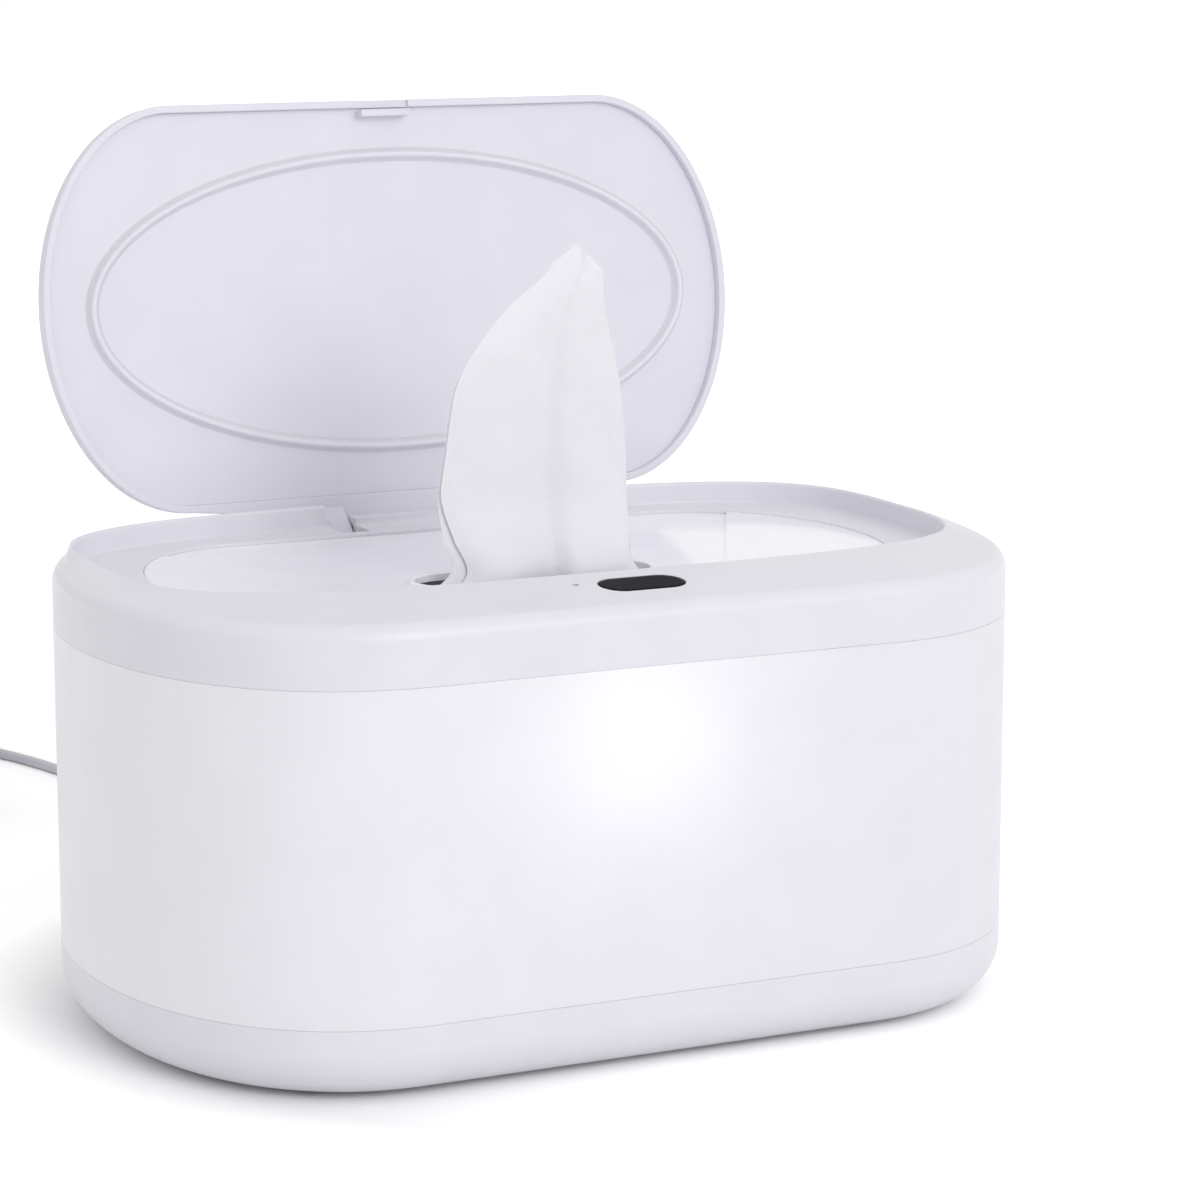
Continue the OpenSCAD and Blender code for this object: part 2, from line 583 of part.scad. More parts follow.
coil_points = concat([coil_point(0) + cord_d * 1.5 * start_way],
    [for (s = [0:COIL_STEP:coil_sweep]) coil_point(s)],
    [for (y = [coil_y - 10, coil_y - 20, coil_y - 30, exit_y + cord_d, exit_y]) [adapter_x, y, coil_top]]);
run_points = concat([[jack_x, relief_y + relief_len, jack_h + foot_h]], route, [coil_points[0]]);
module on_table() translate([0, body_y, 0]) children();
module cord_run() color(BLACK) on_table() sweep(run_points, cord_r, 8);
module cord_coil() color(BLACK) on_table() sweep(coil_points, cord_r, 6);

// Length of the lead, and the coil's least gap to itself, measured on points
function path_len(p) = let (steps = [for (i = [1:len(p) - 1]) norm(p[i] - p[i - 1])])
    steps * [for (s = steps) 1];
turn_gaps = [for (s = [0:5:coil_sweep - 200], t = [s + 200:5:min(s + 760, coil_sweep)])
    norm(coil_point(s) - coil_point(t))];
echo(lead_length_mm = path_len(run_points) + path_len(coil_points));
echo(coil_least_gap_mm = min(turn_gaps) - cord_d);

module cord_tie() color(GREY) on_table() translate([coil_x - 3, coil_y, 0]) rotate([90, 0, 90])
    linear_extrude(6) difference() {
        translate([-18, 9]) rounded(15.6, 18, 2.6);
        translate([-18, 9]) rounded(14, 16.4, 1.8);
    }

module adapter_body() color(BLACK) on_table() translate([adapter_x, adapter_y + adapter_size[1] / 2, 0])
    linear_extrude(adapter_size[2]) rounded(adapter_size[0], adapter_size[1], 3);
module adapter_relief() color(BLACK) on_table() translate([adapter_x, exit_y, coil_top]) rotate([90, 0, 0])
    cylinder(h = exit_y - adapter_y - adapter_size[1], r1 = 2.2, r2 = 4);
module adapter_prong(i) color(STEEL) on_table()
    translate([adapter_x + 13, adapter_y + 8, i == 1 ? 5.4 : 18.1]) cube([15, 6.3, 1.5]);

base_tub();
for (i = [1:4]) rubber_foot(i);
for (i = [1:4]) case_screw(i);
light_band();
top_ring();
inner_tank();
heater_plate();
heater_film();
insulation_pad();
thermostat();
thermal_fuse();
main_board();
for (i = [1:2]) board_screw(i);
night_light_board();
night_light_led();
display_board();
for (i = [1:2]) display_screw(i);
display_module();
display_window();
indicator_lens();
dc_jack();
dispensing_plate();
hinge_rod();
wipe_stack();
wipe_sheet();
lid_shell();
lid_liner();
lid_seal();
lid_latch();
dc_plug();
plug_relief();
cord_run();
cord_coil();
cord_tie();
adapter_body();
adapter_relief();
for (i = [1:2]) adapter_prong(i);
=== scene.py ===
"""Looks of a baby wipe warmer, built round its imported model.

The warmer stands open on a pale table: a tub, a light band and a rim ring, a
tray with a wipe standing in its slot, and a lid that leans back on its hinge.
A thin lead leaves the back and lies coiled behind it with its wall adapter.
Lengths are in millimetres in the body's own frame unless a name says metres.
"""

import logging
import math
from dataclasses import dataclass, field
from enum import Enum

import bmesh
import bpy
import numpy as np
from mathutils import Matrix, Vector


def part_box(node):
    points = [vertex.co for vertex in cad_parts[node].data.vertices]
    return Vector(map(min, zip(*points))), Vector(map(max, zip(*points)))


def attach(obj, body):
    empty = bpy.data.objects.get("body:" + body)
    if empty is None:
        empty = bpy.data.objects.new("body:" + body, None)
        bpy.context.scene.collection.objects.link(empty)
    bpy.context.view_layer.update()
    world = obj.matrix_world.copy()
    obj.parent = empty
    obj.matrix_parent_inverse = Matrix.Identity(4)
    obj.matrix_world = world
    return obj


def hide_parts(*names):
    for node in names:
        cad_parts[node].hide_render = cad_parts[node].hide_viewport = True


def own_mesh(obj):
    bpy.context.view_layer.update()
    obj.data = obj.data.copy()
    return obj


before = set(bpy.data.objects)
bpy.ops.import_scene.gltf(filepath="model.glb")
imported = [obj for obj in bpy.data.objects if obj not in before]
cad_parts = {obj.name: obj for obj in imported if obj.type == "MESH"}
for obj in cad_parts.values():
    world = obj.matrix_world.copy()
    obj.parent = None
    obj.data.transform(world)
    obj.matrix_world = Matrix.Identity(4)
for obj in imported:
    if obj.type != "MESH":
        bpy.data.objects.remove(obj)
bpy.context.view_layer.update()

LOG = logging.getLogger("wipe_warmer")
MM = 0.001
RAY_CENTRE = np.array([0.0, 7.0])
RAY_COUNT = 384
REAR_SHIFT = 7.2
WHITE = (1.0, 1.0, 1.0, 1.0)


class Body(Enum):
    """The two moving bodies of the warmer."""

    CASE = "root"
    LID = "lid"


class Axis(Enum):
    """The direction in which a flat shape is pushed out into a solid."""

    X = "x"
    Y = "y"
    Z = "z"


class Join(Enum):
    """How one solid is worked into another."""

    CUT = "DIFFERENCE"
    ADD = "UNION"


@dataclass(frozen=True)
class Place:
    """Turns the body's own millimetres into the row frame's metres."""

    mid_y: float
    lift: float
    pivot_y: float = 72.0
    pivot_h: float = 104.2
    lid_open: float = 97.9

    def case(self, points: np.ndarray) -> np.ndarray:
        """Place points that are measured from the body's underside.

        Args:
            points: Rows of x, y, z in millimetres.

        Returns:
            The same rows in metres, in the row frame.
        """
        return np.asarray(points, float) * MM + np.array([0.0, self.mid_y, self.lift])

    def table(self, points: np.ndarray) -> np.ndarray:
        """Place points whose heights are measured from the table.

        Args:
            points: Rows of x, y, z in millimetres.

        Returns:
            The same rows in metres, in the row frame.
        """
        return np.asarray(points, float) * MM + np.array([0.0, self.mid_y, 0.0])

    def opened(self, points: np.ndarray) -> np.ndarray:
        """Swing points of the closed lid back to the open lid and place them.

        Args:
            points: Rows of x, y, z in millimetres, with the lid closed.

        Returns:
            The rows of the open lid in metres, in the row frame.
        """
        turned = np.array(points, float)
        y = turned[:, 1] - self.pivot_y
        z = turned[:, 2] - self.pivot_h
        cos, sin = math.cos(-math.radians(self.lid_open)), math.sin(-math.radians(self.lid_open))
        turned[:, 1] = self.pivot_y + y * cos - z * sin
        turned[:, 2] = self.pivot_h + y * sin + z * cos
        return self.case(turned)


def read_place() -> Place:
    """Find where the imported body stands.

    Returns:
        The place of the body's middle and of its underside.
    """
    low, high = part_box("light_band")
    return Place(mid_y=(low.y + high.y) / 2, lift=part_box("base_tub")[0].z)


@dataclass(frozen=True)
class Outline:
    """A closed outline with straight long sides and full, curved ends."""

    half_x: float
    half_y: float
    end: float
    power: float
    back: float = 0.0

    def inset(self, by: float) -> "Outline":
        """Return the outline drawn in by a number of millimetres."""
        return Outline(self.half_x - by, self.half_y - by, self.end - by, self.power, self.back)

    def trace(self, quarter: int = 180) -> np.ndarray:
        """Walk once round the outline.

        Args:
            quarter: Steps in each curved quarter.

        Returns:
            Rows of x, y from the right-hand end, counter-clockwise.
        """
        turn = np.linspace(0.0, math.pi / 2, quarter + 1)
        x = (self.half_x - self.end) + self.end * np.cos(turn) ** (2 / self.power)
        y = self.half_y * np.sin(turn) ** (2 / self.power)
        flat = max(2, int(self.half_x - self.end))
        side = np.linspace(x[-1], 0.0, flat, endpoint=False)[1:]
        x = np.concatenate([x, side])
        y = np.concatenate([y, np.full(len(side), self.half_y)])
        top = np.column_stack([x, y])
        half = np.concatenate([top, [[0.0, self.half_y]], (top * [-1, 1])[::-1]])
        whole = np.concatenate([half, (half[::-1] * [1, -1])[1:-1]])
        return whole + np.array([0.0, self.back])

    def at(self, rays: np.ndarray) -> np.ndarray:
        """Find where rays from the shared centre meet the outline.

        Args:
            rays: Angles in radians, rising over one turn.

        Returns:
            Rows of x, y, one for each ray.
        """
        path = self.trace()
        angle = np.unwrap(np.arctan2(path[:, 1] - RAY_CENTRE[1], path[:, 0] - RAY_CENTRE[0]))
        turn = 2 * math.pi
        wide = np.concatenate([angle - turn, angle, angle + turn])
        x = np.interp(rays, wide, np.tile(path[:, 0], 3))
        y = np.interp(rays, wide, np.tile(path[:, 1], 3))
        return np.column_stack([x, y])

    def ring(self, height: float, rays: np.ndarray | None = None) -> np.ndarray:
        """Lift the outline to a height, as one ring of a loft."""
        flat = self.at(RAYS if rays is None else rays)
        return np.column_stack([flat, np.full(len(flat), height)])


BODY = Outline(120.0, 78.0, 59.7, 2.16)
OPENING = Outline(109.9, 60.2, 107.9, 3.55, 11.1)
LID = Outline(99.0, 53.4, 37.5, 2.0, REAR_SHIFT)
MOUTH = LID.inset(2.5)
SEAL = Outline(86.0, 39.8, 85.5, 2.0, REAR_SHIFT)


def even_rays(outline: Outline, count: int) -> np.ndarray:
    """Spread rays so that they cut an outline at even steps of its length.

    Args:
        outline: The outline to be cut evenly.
        count: How many rays there are in the whole turn.

    Returns:
        The rays' angles in radians, rising.
    """
    path = outline.trace()
    path = np.concatenate([path, path[:1]])
    walked = np.concatenate([[0.0], np.cumsum(np.hypot(*np.diff(path, axis=0).T))])
    steps = np.linspace(0.0, walked[-1], count, endpoint=False)
    x = np.interp(steps, walked, path[:, 0]) - RAY_CENTRE[0]
    y = np.interp(steps, walked, path[:, 1]) - RAY_CENTRE[1]
    return np.unwrap(np.arctan2(y, x))


RAYS = even_rays(BODY, RAY_COUNT)


@dataclass
class Profile:
    """A stack of rings with a rounding radius at each, ready to be lofted."""

    rings: list[np.ndarray] = field(default_factory=list)
    radii: list[float] = field(default_factory=list)

    def add(self, ring: np.ndarray, radius: float = 0.0) -> "Profile":
        """Add one ring, with the radius of the corner that it makes."""
        self.rings.append(np.asarray(ring, float))
        self.radii.append(radius)
        return self

    def rounded(self, closed: bool, steps: int = 4) -> list[np.ndarray]:
        """Swap each corner ring for a few rings on an arc.

        Args:
            closed: Whether the last ring joins the first.
            steps: Segments in each rounded corner.

        Returns:
            The rings of the rounded stack, in order.
        """
        count = len(self.rings)
        out: list[np.ndarray] = []
        for k, (here, radius) in enumerate(zip(self.rings, self.radii)):
            if radius <= 0 or (not closed and k in (0, count - 1)):
                out.append(here)
                continue
            ends = []
            for other in (self.rings[k - 1], self.rings[(k + 1) % count]):
                way = other - here
                far = np.maximum(np.linalg.norm(way, axis=1, keepdims=True), 1e-9)
                ends.append(here + way / far * np.minimum(radius, 0.45 * far))
            for t in np.linspace(0.0, 1.0, steps + 1):
                out.append((1 - t) ** 2 * ends[0] + 2 * t * (1 - t) * here + t * t * ends[1])
        return out


def new_object(name: str, points: np.ndarray, faces: list[tuple[int, ...]]) -> bpy.types.Object:
    """Make a mesh object whose faces all look outwards.

    Args:
        name: The object's name.
        points: Rows of x, y, z in metres, in the row frame.
        faces: Corner numbers of each face.

    Returns:
        The object, linked to the scene.
    """
    mesh = bpy.data.meshes.new(name)
    mesh.from_pydata([tuple(p) for p in np.asarray(points, float)], [], faces)
    work = bmesh.new()
    work.from_mesh(mesh)
    bmesh.ops.recalc_face_normals(work, faces=work.faces)
    work.to_mesh(mesh)
    work.free()
    obj = bpy.data.objects.new(name, mesh)
    bpy.context.scene.collection.objects.link(obj)
    return obj


def skin_faces(across: int, rows: int, closed: bool, caps: bool) -> list[tuple[int, ...]]:
    """List the faces between stacked rings.

    Args:
        across: Points in each ring.
        rows: How many rings there are.
        closed: Whether the last ring joins the first.
        caps: Whether the first and last ring are closed by one face each.

    Returns:
        Corner numbers of each face.
    """
    faces: list[tuple[int, ...]] = []
    for k in range(rows if closed else rows - 1):
        a, b = k * across, ((k + 1) % rows) * across
        for i in range(across):
            j = (i + 1) % across
            faces.append((a + i, a + j, b + j, b + i))
    if caps:
        faces.append(tuple(range(across)))
        faces.append(tuple(range((rows - 1) * across, rows * across)))
    return faces


def loft(name: str, rings: list[np.ndarray], closed: bool = False, caps: bool = True) -> bpy.types.Object:
    """Skin a stack of rings, given in metres, into one object."""
    faces = skin_faces(len(rings[0]), len(rings), closed, caps and not closed)
    return new_object(name, np.concatenate(rings), faces)


def prism_points(shape: np.ndarray, axis: Axis, low: float, high: float) -> np.ndarray:
    """Push a flat shape out along an axis.

    Args:
        shape: Rows of two numbers, in the order y, z for X, x, z for Y and x, y for Z.
        axis: The direction of the push.
        low: Where the solid starts along the axis.
        high: Where it ends.

    Returns:
        The points of the first end, then those of the second.
    """
    flat = np.asarray(shape, float)
    rows = []
    for level in (low, high):
        side = np.full(len(flat), level)
        rows.append({
            Axis.X: np.column_stack([side, flat[:, 0], flat[:, 1]]),
            Axis.Y: np.column_stack([flat[:, 0], side, flat[:, 1]]),
            Axis.Z: np.column_stack([flat[:, 0], flat[:, 1], side]),
        }[axis])
    return np.concatenate(rows)


def disc(radius: float, middle: tuple[float, float] = (0.0, 0.0), sides: int = 48) -> np.ndarray:
    """Return the points of a circle as rows of two numbers."""
    turn = np.linspace(0, 2 * math.pi, sides, endpoint=False)
    return np.column_stack([middle[0] + radius * np.cos(turn), middle[1] + radius * np.sin(turn)])


def box_shape(x: tuple[float, float], y: tuple[float, float]) -> np.ndarray:
    """Return the four corners of a rectangle."""
    return np.array([[x[0], y[0]], [x[1], y[0]], [x[1], y[1]], [x[0], y[1]]])


def soft_box(length: float, width: float, radius: float, corner: int = 10) -> np.ndarray:
    """Return a rectangle with round corners about the origin.

    Args:
        length: Size along the first axis.
        width: Size along the second axis.
        radius: Radius of the corners.
        corner: Steps in each corner.

    Returns:
        Rows of two numbers, counter-clockwise.
    """
    out = []
    for sx, sy, start in ((1, 1, 0), (-1, 1, 90), (-1, -1, 180), (1, -1, 270)):
        for t in np.linspace(start, start + 90, corner + 1):
            out.append([sx * (length / 2 - radius) + radius * math.cos(math.radians(t)),
                        sy * (width / 2 - radius) + radius * math.sin(math.radians(t))])
    return np.array(out)


def bake(obj: bpy.types.Object) -> bpy.types.Object:
    """Apply all of an object's modifiers to its mesh.

    Args:
        obj: The object.

    Returns:
        The same object, with no modifier left.
    """
    bpy.context.view_layer.update()
    graph = bpy.context.evaluated_depsgraph_get()
    mesh = bpy.data.meshes.new_from_object(obj.evaluated_get(graph))
    obj.modifiers.clear()
    old, obj.data = obj.data, mesh
    bpy.data.meshes.remove(old)
    return obj


def work(obj: bpy.types.Object, how: Join, *tools: bpy.types.Object) -> bpy.types.Object:
    """Cut solids out of an object, or grow it by them, and delete the tools.

    Args:
        obj: The object that is worked.
        how: Whether the tools cut or add.
        tools: Closed solids.

    Returns:
        The worked object.
    """
    for tool in tools:
        step = obj.modifiers.new("work", "BOOLEAN")
        step.operation = how.value
        step.solver = "EXACT"
        step.object = tool
    bake(obj)
    for tool in tools:
        bpy.data.objects.remove(tool, do_unlink=True)
    return obj


def soften(obj: bpy.types.Object, width: float, segments: int = 2, angle: float = 40.0) -> bpy.types.Object:
    """Round an object's sharp edges.

    Args:
        obj: The object.
        width: The rounding's width in millimetres.
        segments: Faces across the rounding.
        angle: The least angle in degrees of an edge that is rounded.

    Returns:
        The rounded object.
    """
    step = obj.modifiers.new("soften", "BEVEL")
    step.width = width * MM
    step.segments = segments
    step.limit_method = "ANGLE"
    step.angle_limit = math.radians(angle)
    return bake(obj)


def shade(obj: bpy.types.Object, angle: float = 32.0) -> bpy.types.Object:
    """Shade an object smooth, with creases where its faces meet sharply.

    Args:
        obj: The object.
        angle: The least angle in degrees between two faces that makes a crease.

    Returns:
        The shaded object.
    """
    mesh = obj.data
    mesh.polygons.foreach_set("use_smooth", np.ones(len(mesh.polygons), bool))
    mesh.set_sharp_from_angle(angle=math.radians(angle))
    mesh.update()
    return obj


def level(obj: bpy.types.Object) -> bpy.types.Object:
    """Turn the normals at an edge towards its larger face, so that flat faces look flat."""
    step = obj.modifiers.new("level", "WEIGHTED_NORMAL")
    step.keep_sharp = True
    return bake(obj)


def merge(name: str, parts: list[bpy.types.Object]) -> bpy.types.Object:
    """Join several objects into the first one, as loose shells of one piece.

    Args:
        name: The name of the joined object.
        parts: The objects, all at the origin.

    Returns:
        The joined object.
    """
    whole = bmesh.new()
    for part in parts:
        whole.from_mesh(part.data)
    keep = parts[0]
    whole.to_mesh(keep.data)
    whole.free()
    for part in parts[1:]:
        bpy.data.objects.remove(part, do_unlink=True)
    keep.name = name
    return keep


def turned(name: str, profile: list[tuple[float, float]], place: np.ndarray,
           sides: int = 48) -> bpy.types.Object:
    """Turn a profile about a line along +Y.

    Args:
        name: The object's name.
        profile: Pairs of distance along the line and radius, in millimetres.
        place: The line's starting point in metres.
        sides: Points round the line.

    Returns:
        The turned object.
    """
    rings = []
    for along, radius in profile:
        circle = disc(radius, sides=sides) * MM
        rings.append(np.column_stack([circle[:, 0], np.full(sides, along * MM), circle[:, 1]]) + place)
    return loft(name, rings)


class Graph:
    """A material's or the world's node tree, with short calls to add and link nodes."""

    def __init__(self, name: str, tree: bpy.types.NodeTree | None = None) -> None:
        """Start an empty node tree with an output.

        Args:
            name: The material's name.
            tree: The world's node tree, where there is no material.
        """
        self.material = None
        if tree is None:
            self.material = bpy.data.materials.new(name)
            self.material.use_nodes = True
        self.tree = self.material.node_tree if self.material else tree
        self.tree.nodes.clear()
        end = "ShaderNodeOutputMaterial" if self.material else "ShaderNodeOutputWorld"
        self.out = self.tree.nodes.new(end)

    def add(self, kind: str, inputs: dict[str | int, object] | None = None,
            **settings: object) -> bpy.types.Node:
        """Add a node.

        Args:
            kind: The node's type name.
            inputs: Values or sockets for its inputs, by name or number.
            settings: Values for the node's own properties.

        Returns:
            The new node.
        """
        node = self.tree.nodes.new(kind)
        for key, value in settings.items():
            setattr(node, key, value)
        for key, value in (inputs or {}).items():
            if isinstance(value, bpy.types.NodeSocket):
                self.tree.links.new(value, node.inputs[key])
            else:
                node.inputs[key].default_value = value
        return node

    def maths(self, operation: str, first: object, second: object = 0.0) -> bpy.types.NodeSocket:
        """Add a maths node and return its result."""
        return self.add("ShaderNodeMath", {0: first, 1: second}, operation=operation).outputs[0]

    def remap(self, value: object, source: tuple[float, float],
              target: tuple[float, float]) -> bpy.types.NodeSocket:
        """Map a value from one range to another.

        Args:
            value: The value's socket.
            source: The range that it comes from, beyond which it is held.
            target: The range that it goes to.

        Returns:
            The mapped value.
        """
        return self.add("ShaderNodeMapRange", {
            "Value": value, "From Min": source[0], "From Max": source[1],
            "To Min": target[0], "To Max": target[1],
        }).outputs["Result"]

    def object_space(self) -> bpy.types.NodeSocket:
        """Return the object-space coordinates, in metres."""
        return self.add("ShaderNodeTexCoord").outputs["Object"]

    def noise(self, where: bpy.types.NodeSocket, scale: float, detail: float = 3.0,
              roughness: float = 0.5) -> bpy.types.NodeSocket:
        """Add a noise texture and return its factor.

        Args:
            where: The coordinates.
            scale: Noise cells per metre.
            detail: Octaves.
            roughness: Strength of the finer octaves.

        Returns:
            The noise factor, about 0.5.
        """
        node = self.add("ShaderNodeTexNoise", {
            "Vector": where, "Scale": scale, "Detail": detail, "Roughness": roughness})
        return node.outputs["Fac"]

    def finish(self, shader: bpy.types.NodeSocket) -> bpy.types.Material | None:
        """Link the shader to the output and return the material, if there is one."""
        self.tree.links.new(shader, self.out.inputs["Surface"])
        return self.material


def scaled(colour: tuple[float, float, float], by: float) -> tuple[float, float, float, float]:
    """Return a colour made lighter or darker, with full alpha."""
    return (min(1.0, colour[0] * by), min(1.0, colour[1] * by), min(1.0, colour[2] * by), 1.0)


@dataclass(frozen=True)
class Finish:
    """A surface finish: a colour that drifts a little, and a fine grain."""

    label: str
    colour: tuple[float, float, float]
    roughness: float
    drift: float = 0.015
    grain: float = 1400.0
    depth: float = 0.00001
    polish: float = 0.05
    metallic: float = 0.0
    coat: float = 0.0
    sheen: float = 0.0
    subsurface: float = 0.0
    specular: float = 0.5
    # Emission that paints light onto the surface; of these finishes only the tray sets it, as a painted glow.
    glow: float = 0.0
    stretch: tuple[float, float, float] = (1.0, 1.0, 1.0)

    def colour_socket(self, graph: Graph, where: bpy.types.NodeSocket) -> bpy.types.NodeSocket:
        """Make the drifting base colour.

        Args:
            graph: The material's node tree.
            where: Object-space coordinates.

        Returns:
            The colour socket.
        """
        ramp = graph.add("ShaderNodeValToRGB", {"Fac": graph.noise(where, 55.0, 2.0)})
        ramp.color_ramp.elements[0].position = 0.3
        ramp.color_ramp.elements[1].position = 0.7
        ramp.color_ramp.elements[0].color = scaled(self.colour, 1 - self.drift)
        ramp.color_ramp.elements[1].color = scaled(self.colour, 1 + self.drift)
        return ramp.outputs["Color"]

    def relief(self, graph: Graph, where: bpy.types.NodeSocket) -> bpy.types.NodeSocket:
        """Make the grain's bump and return its normal."""
        grain = graph.noise(where, self.grain, 2.0)
        return graph.add("ShaderNodeBump", {
            "Height": grain, "Strength": 1.0, "Distance": self.depth}).outputs["Normal"]

    def shader(self, graph: Graph, where: bpy.types.NodeSocket) -> bpy.types.Node:
        """Make the main shader, with its constant values on its own sockets.

        Args:
            graph: The material's node tree.
            where: Object-space coordinates.

        Returns:
            The shader node.
        """
        swing = graph.noise(where, 140.0, 3.0)
        half = self.polish / 2
        node = graph.add("ShaderNodeBsdfPrincipled", {
            "Base Color": self.colour_socket(graph, where),
            "Roughness": graph.remap(swing, (0.3, 0.7), (self.roughness - half, self.roughness + half)),
            "Normal": self.relief(graph, where),
            "Metallic": self.metallic,
            "Specular IOR Level": self.specular,
            "Coat Weight": self.coat,
            "Coat Roughness": 0.08,
            "Sheen Weight": self.sheen,
            "Subsurface Weight": self.subsurface,
            # The emission here is the painted glow; the band's finish sets its own in its place.
            "Emission Color": scaled(self.colour, 1.0),
            "Emission Strength": self.glow,
        })
        if self.subsurface > 0:
            node.inputs["Subsurface Radius"].default_value = (1.0, 1.0, 1.0)
            node.inputs["Subsurface Scale"].default_value = 0.002
        return node

    def material(self) -> bpy.types.Material:
        """Build the material.

        Returns:
            The material.
        """
        graph = Graph(self.label)
        where = graph.object_space()
        if self.stretch != (1.0, 1.0, 1.0):
            where = graph.add("ShaderNodeMapping", {"Vector": where, "Scale": self.stretch}).outputs[0]
        return graph.finish(self.shader(graph, where).outputs[0])


@dataclass(frozen=True)
class GlowFinish(Finish):
    """The light band: milky plastic with the night light behind its front, and a painted glow at its left
    end.
    """

    lamp: tuple[float, float, float] = (0.0, 0.0, 0.0)
    core: float = 0.17
    core_width: float = 0.020
    halo: float = 0.04
    halo_width: float = 0.06
    even: float = 0.04
    # Painted glow: extra emission that lightens the band's left end, fading out towards the middle.
    left: float = 0.05
    left_painted_glow_span: tuple[float, float] = (-0.12, -0.03)

    def shader(self, graph: Graph, where: bpy.types.NodeSocket) -> bpy.types.Node:
        """Make the band's shader and add the glow round the lamp, over an even glow and a painted glow that
        lightens the band's left end.

        Args:
            graph: The material's node tree.
            where: Object-space coordinates.

        Returns:
            The shader node.
        """
        node = super().shader(graph, where)
        off = graph.add("ShaderNodeVectorMath", {0: where, 1: self.lamp}, operation="SUBTRACT").outputs[0]
        squared = graph.add("ShaderNodeVectorMath", {0: off, 1: off},
                            operation="DOT_PRODUCT").outputs["Value"]
        along = graph.add("ShaderNodeSeparateXYZ", {0: where}).outputs["X"]
        # An even glow, with the painted glow added towards the left end.
        total = graph.remap(along, self.left_painted_glow_span, (self.even + self.left, self.even))
        for strength, width in ((self.core, self.core_width), (self.halo, self.halo_width)):
            fall = graph.maths("EXPONENT", graph.maths("MULTIPLY", squared, -0.5 / width ** 2))
            total = graph.maths("ADD", total, graph.maths("MULTIPLY", fall, strength))
        graph.tree.links.new(total, node.inputs["Emission Strength"])
        node.inputs["Emission Color"].default_value = (1.0, 1.0, 0.99, 1.0)
        return node


@dataclass(frozen=True)
class ClothFinish(Finish):
    """A moist nonwoven wipe: fine crossing fibres, soft dimples, thin enough to glow."""

    through: float = 0.15
    dimple_depth: float = 0.0004
    fibre_depth: float = 0.0001

    def relief(self, graph: Graph, where: bpy.types.NodeSocket) -> bpy.types.NodeSocket:
        """Make the fibres and the dimples.

        Args:
            graph: The material's node tree.
            where: Object-space coordinates.

        Returns:
            The bumped normal.
        """
        upright = graph.add("ShaderNodeMapping", {"Vector": where, "Scale": (3.0, 1.0, 0.6)}).outputs[0]
        across = graph.add("ShaderNodeMapping", {"Vector": where, "Scale": (0.6, 1.0, 3.0)}).outputs[0]
        fibres = graph.maths("ADD", graph.noise(upright, 620.0, 4.0, 0.65),
                             graph.noise(across, 540.0, 4.0, 0.65))
        dimples = graph.noise(where, 190.0, 2.0)
        first = graph.add("ShaderNodeBump", {
            "Height": dimples, "Strength": 1.0, "Distance": self.dimple_depth})
        return graph.add("ShaderNodeBump", {
            "Height": fibres, "Strength": 1.0, "Distance": self.fibre_depth,
            "Normal": first.outputs["Normal"]}).outputs["Normal"]

    def material(self) -> bpy.types.Material:
        """Build the cloth, part of whose light comes through from behind.

        Returns:
            The material.
        """
        graph = Graph(self.label)
        where = graph.object_space()
        front = self.shader(graph, where)
        behind = graph.add("ShaderNodeBsdfTranslucent", {"Color": scaled(self.colour, 1.0)})
        mixed = graph.add("ShaderNodeMixShader", {0: self.through, 1: front.outputs[0], 2: behind.outputs[0]})
        return graph.finish(mixed.outputs[0])


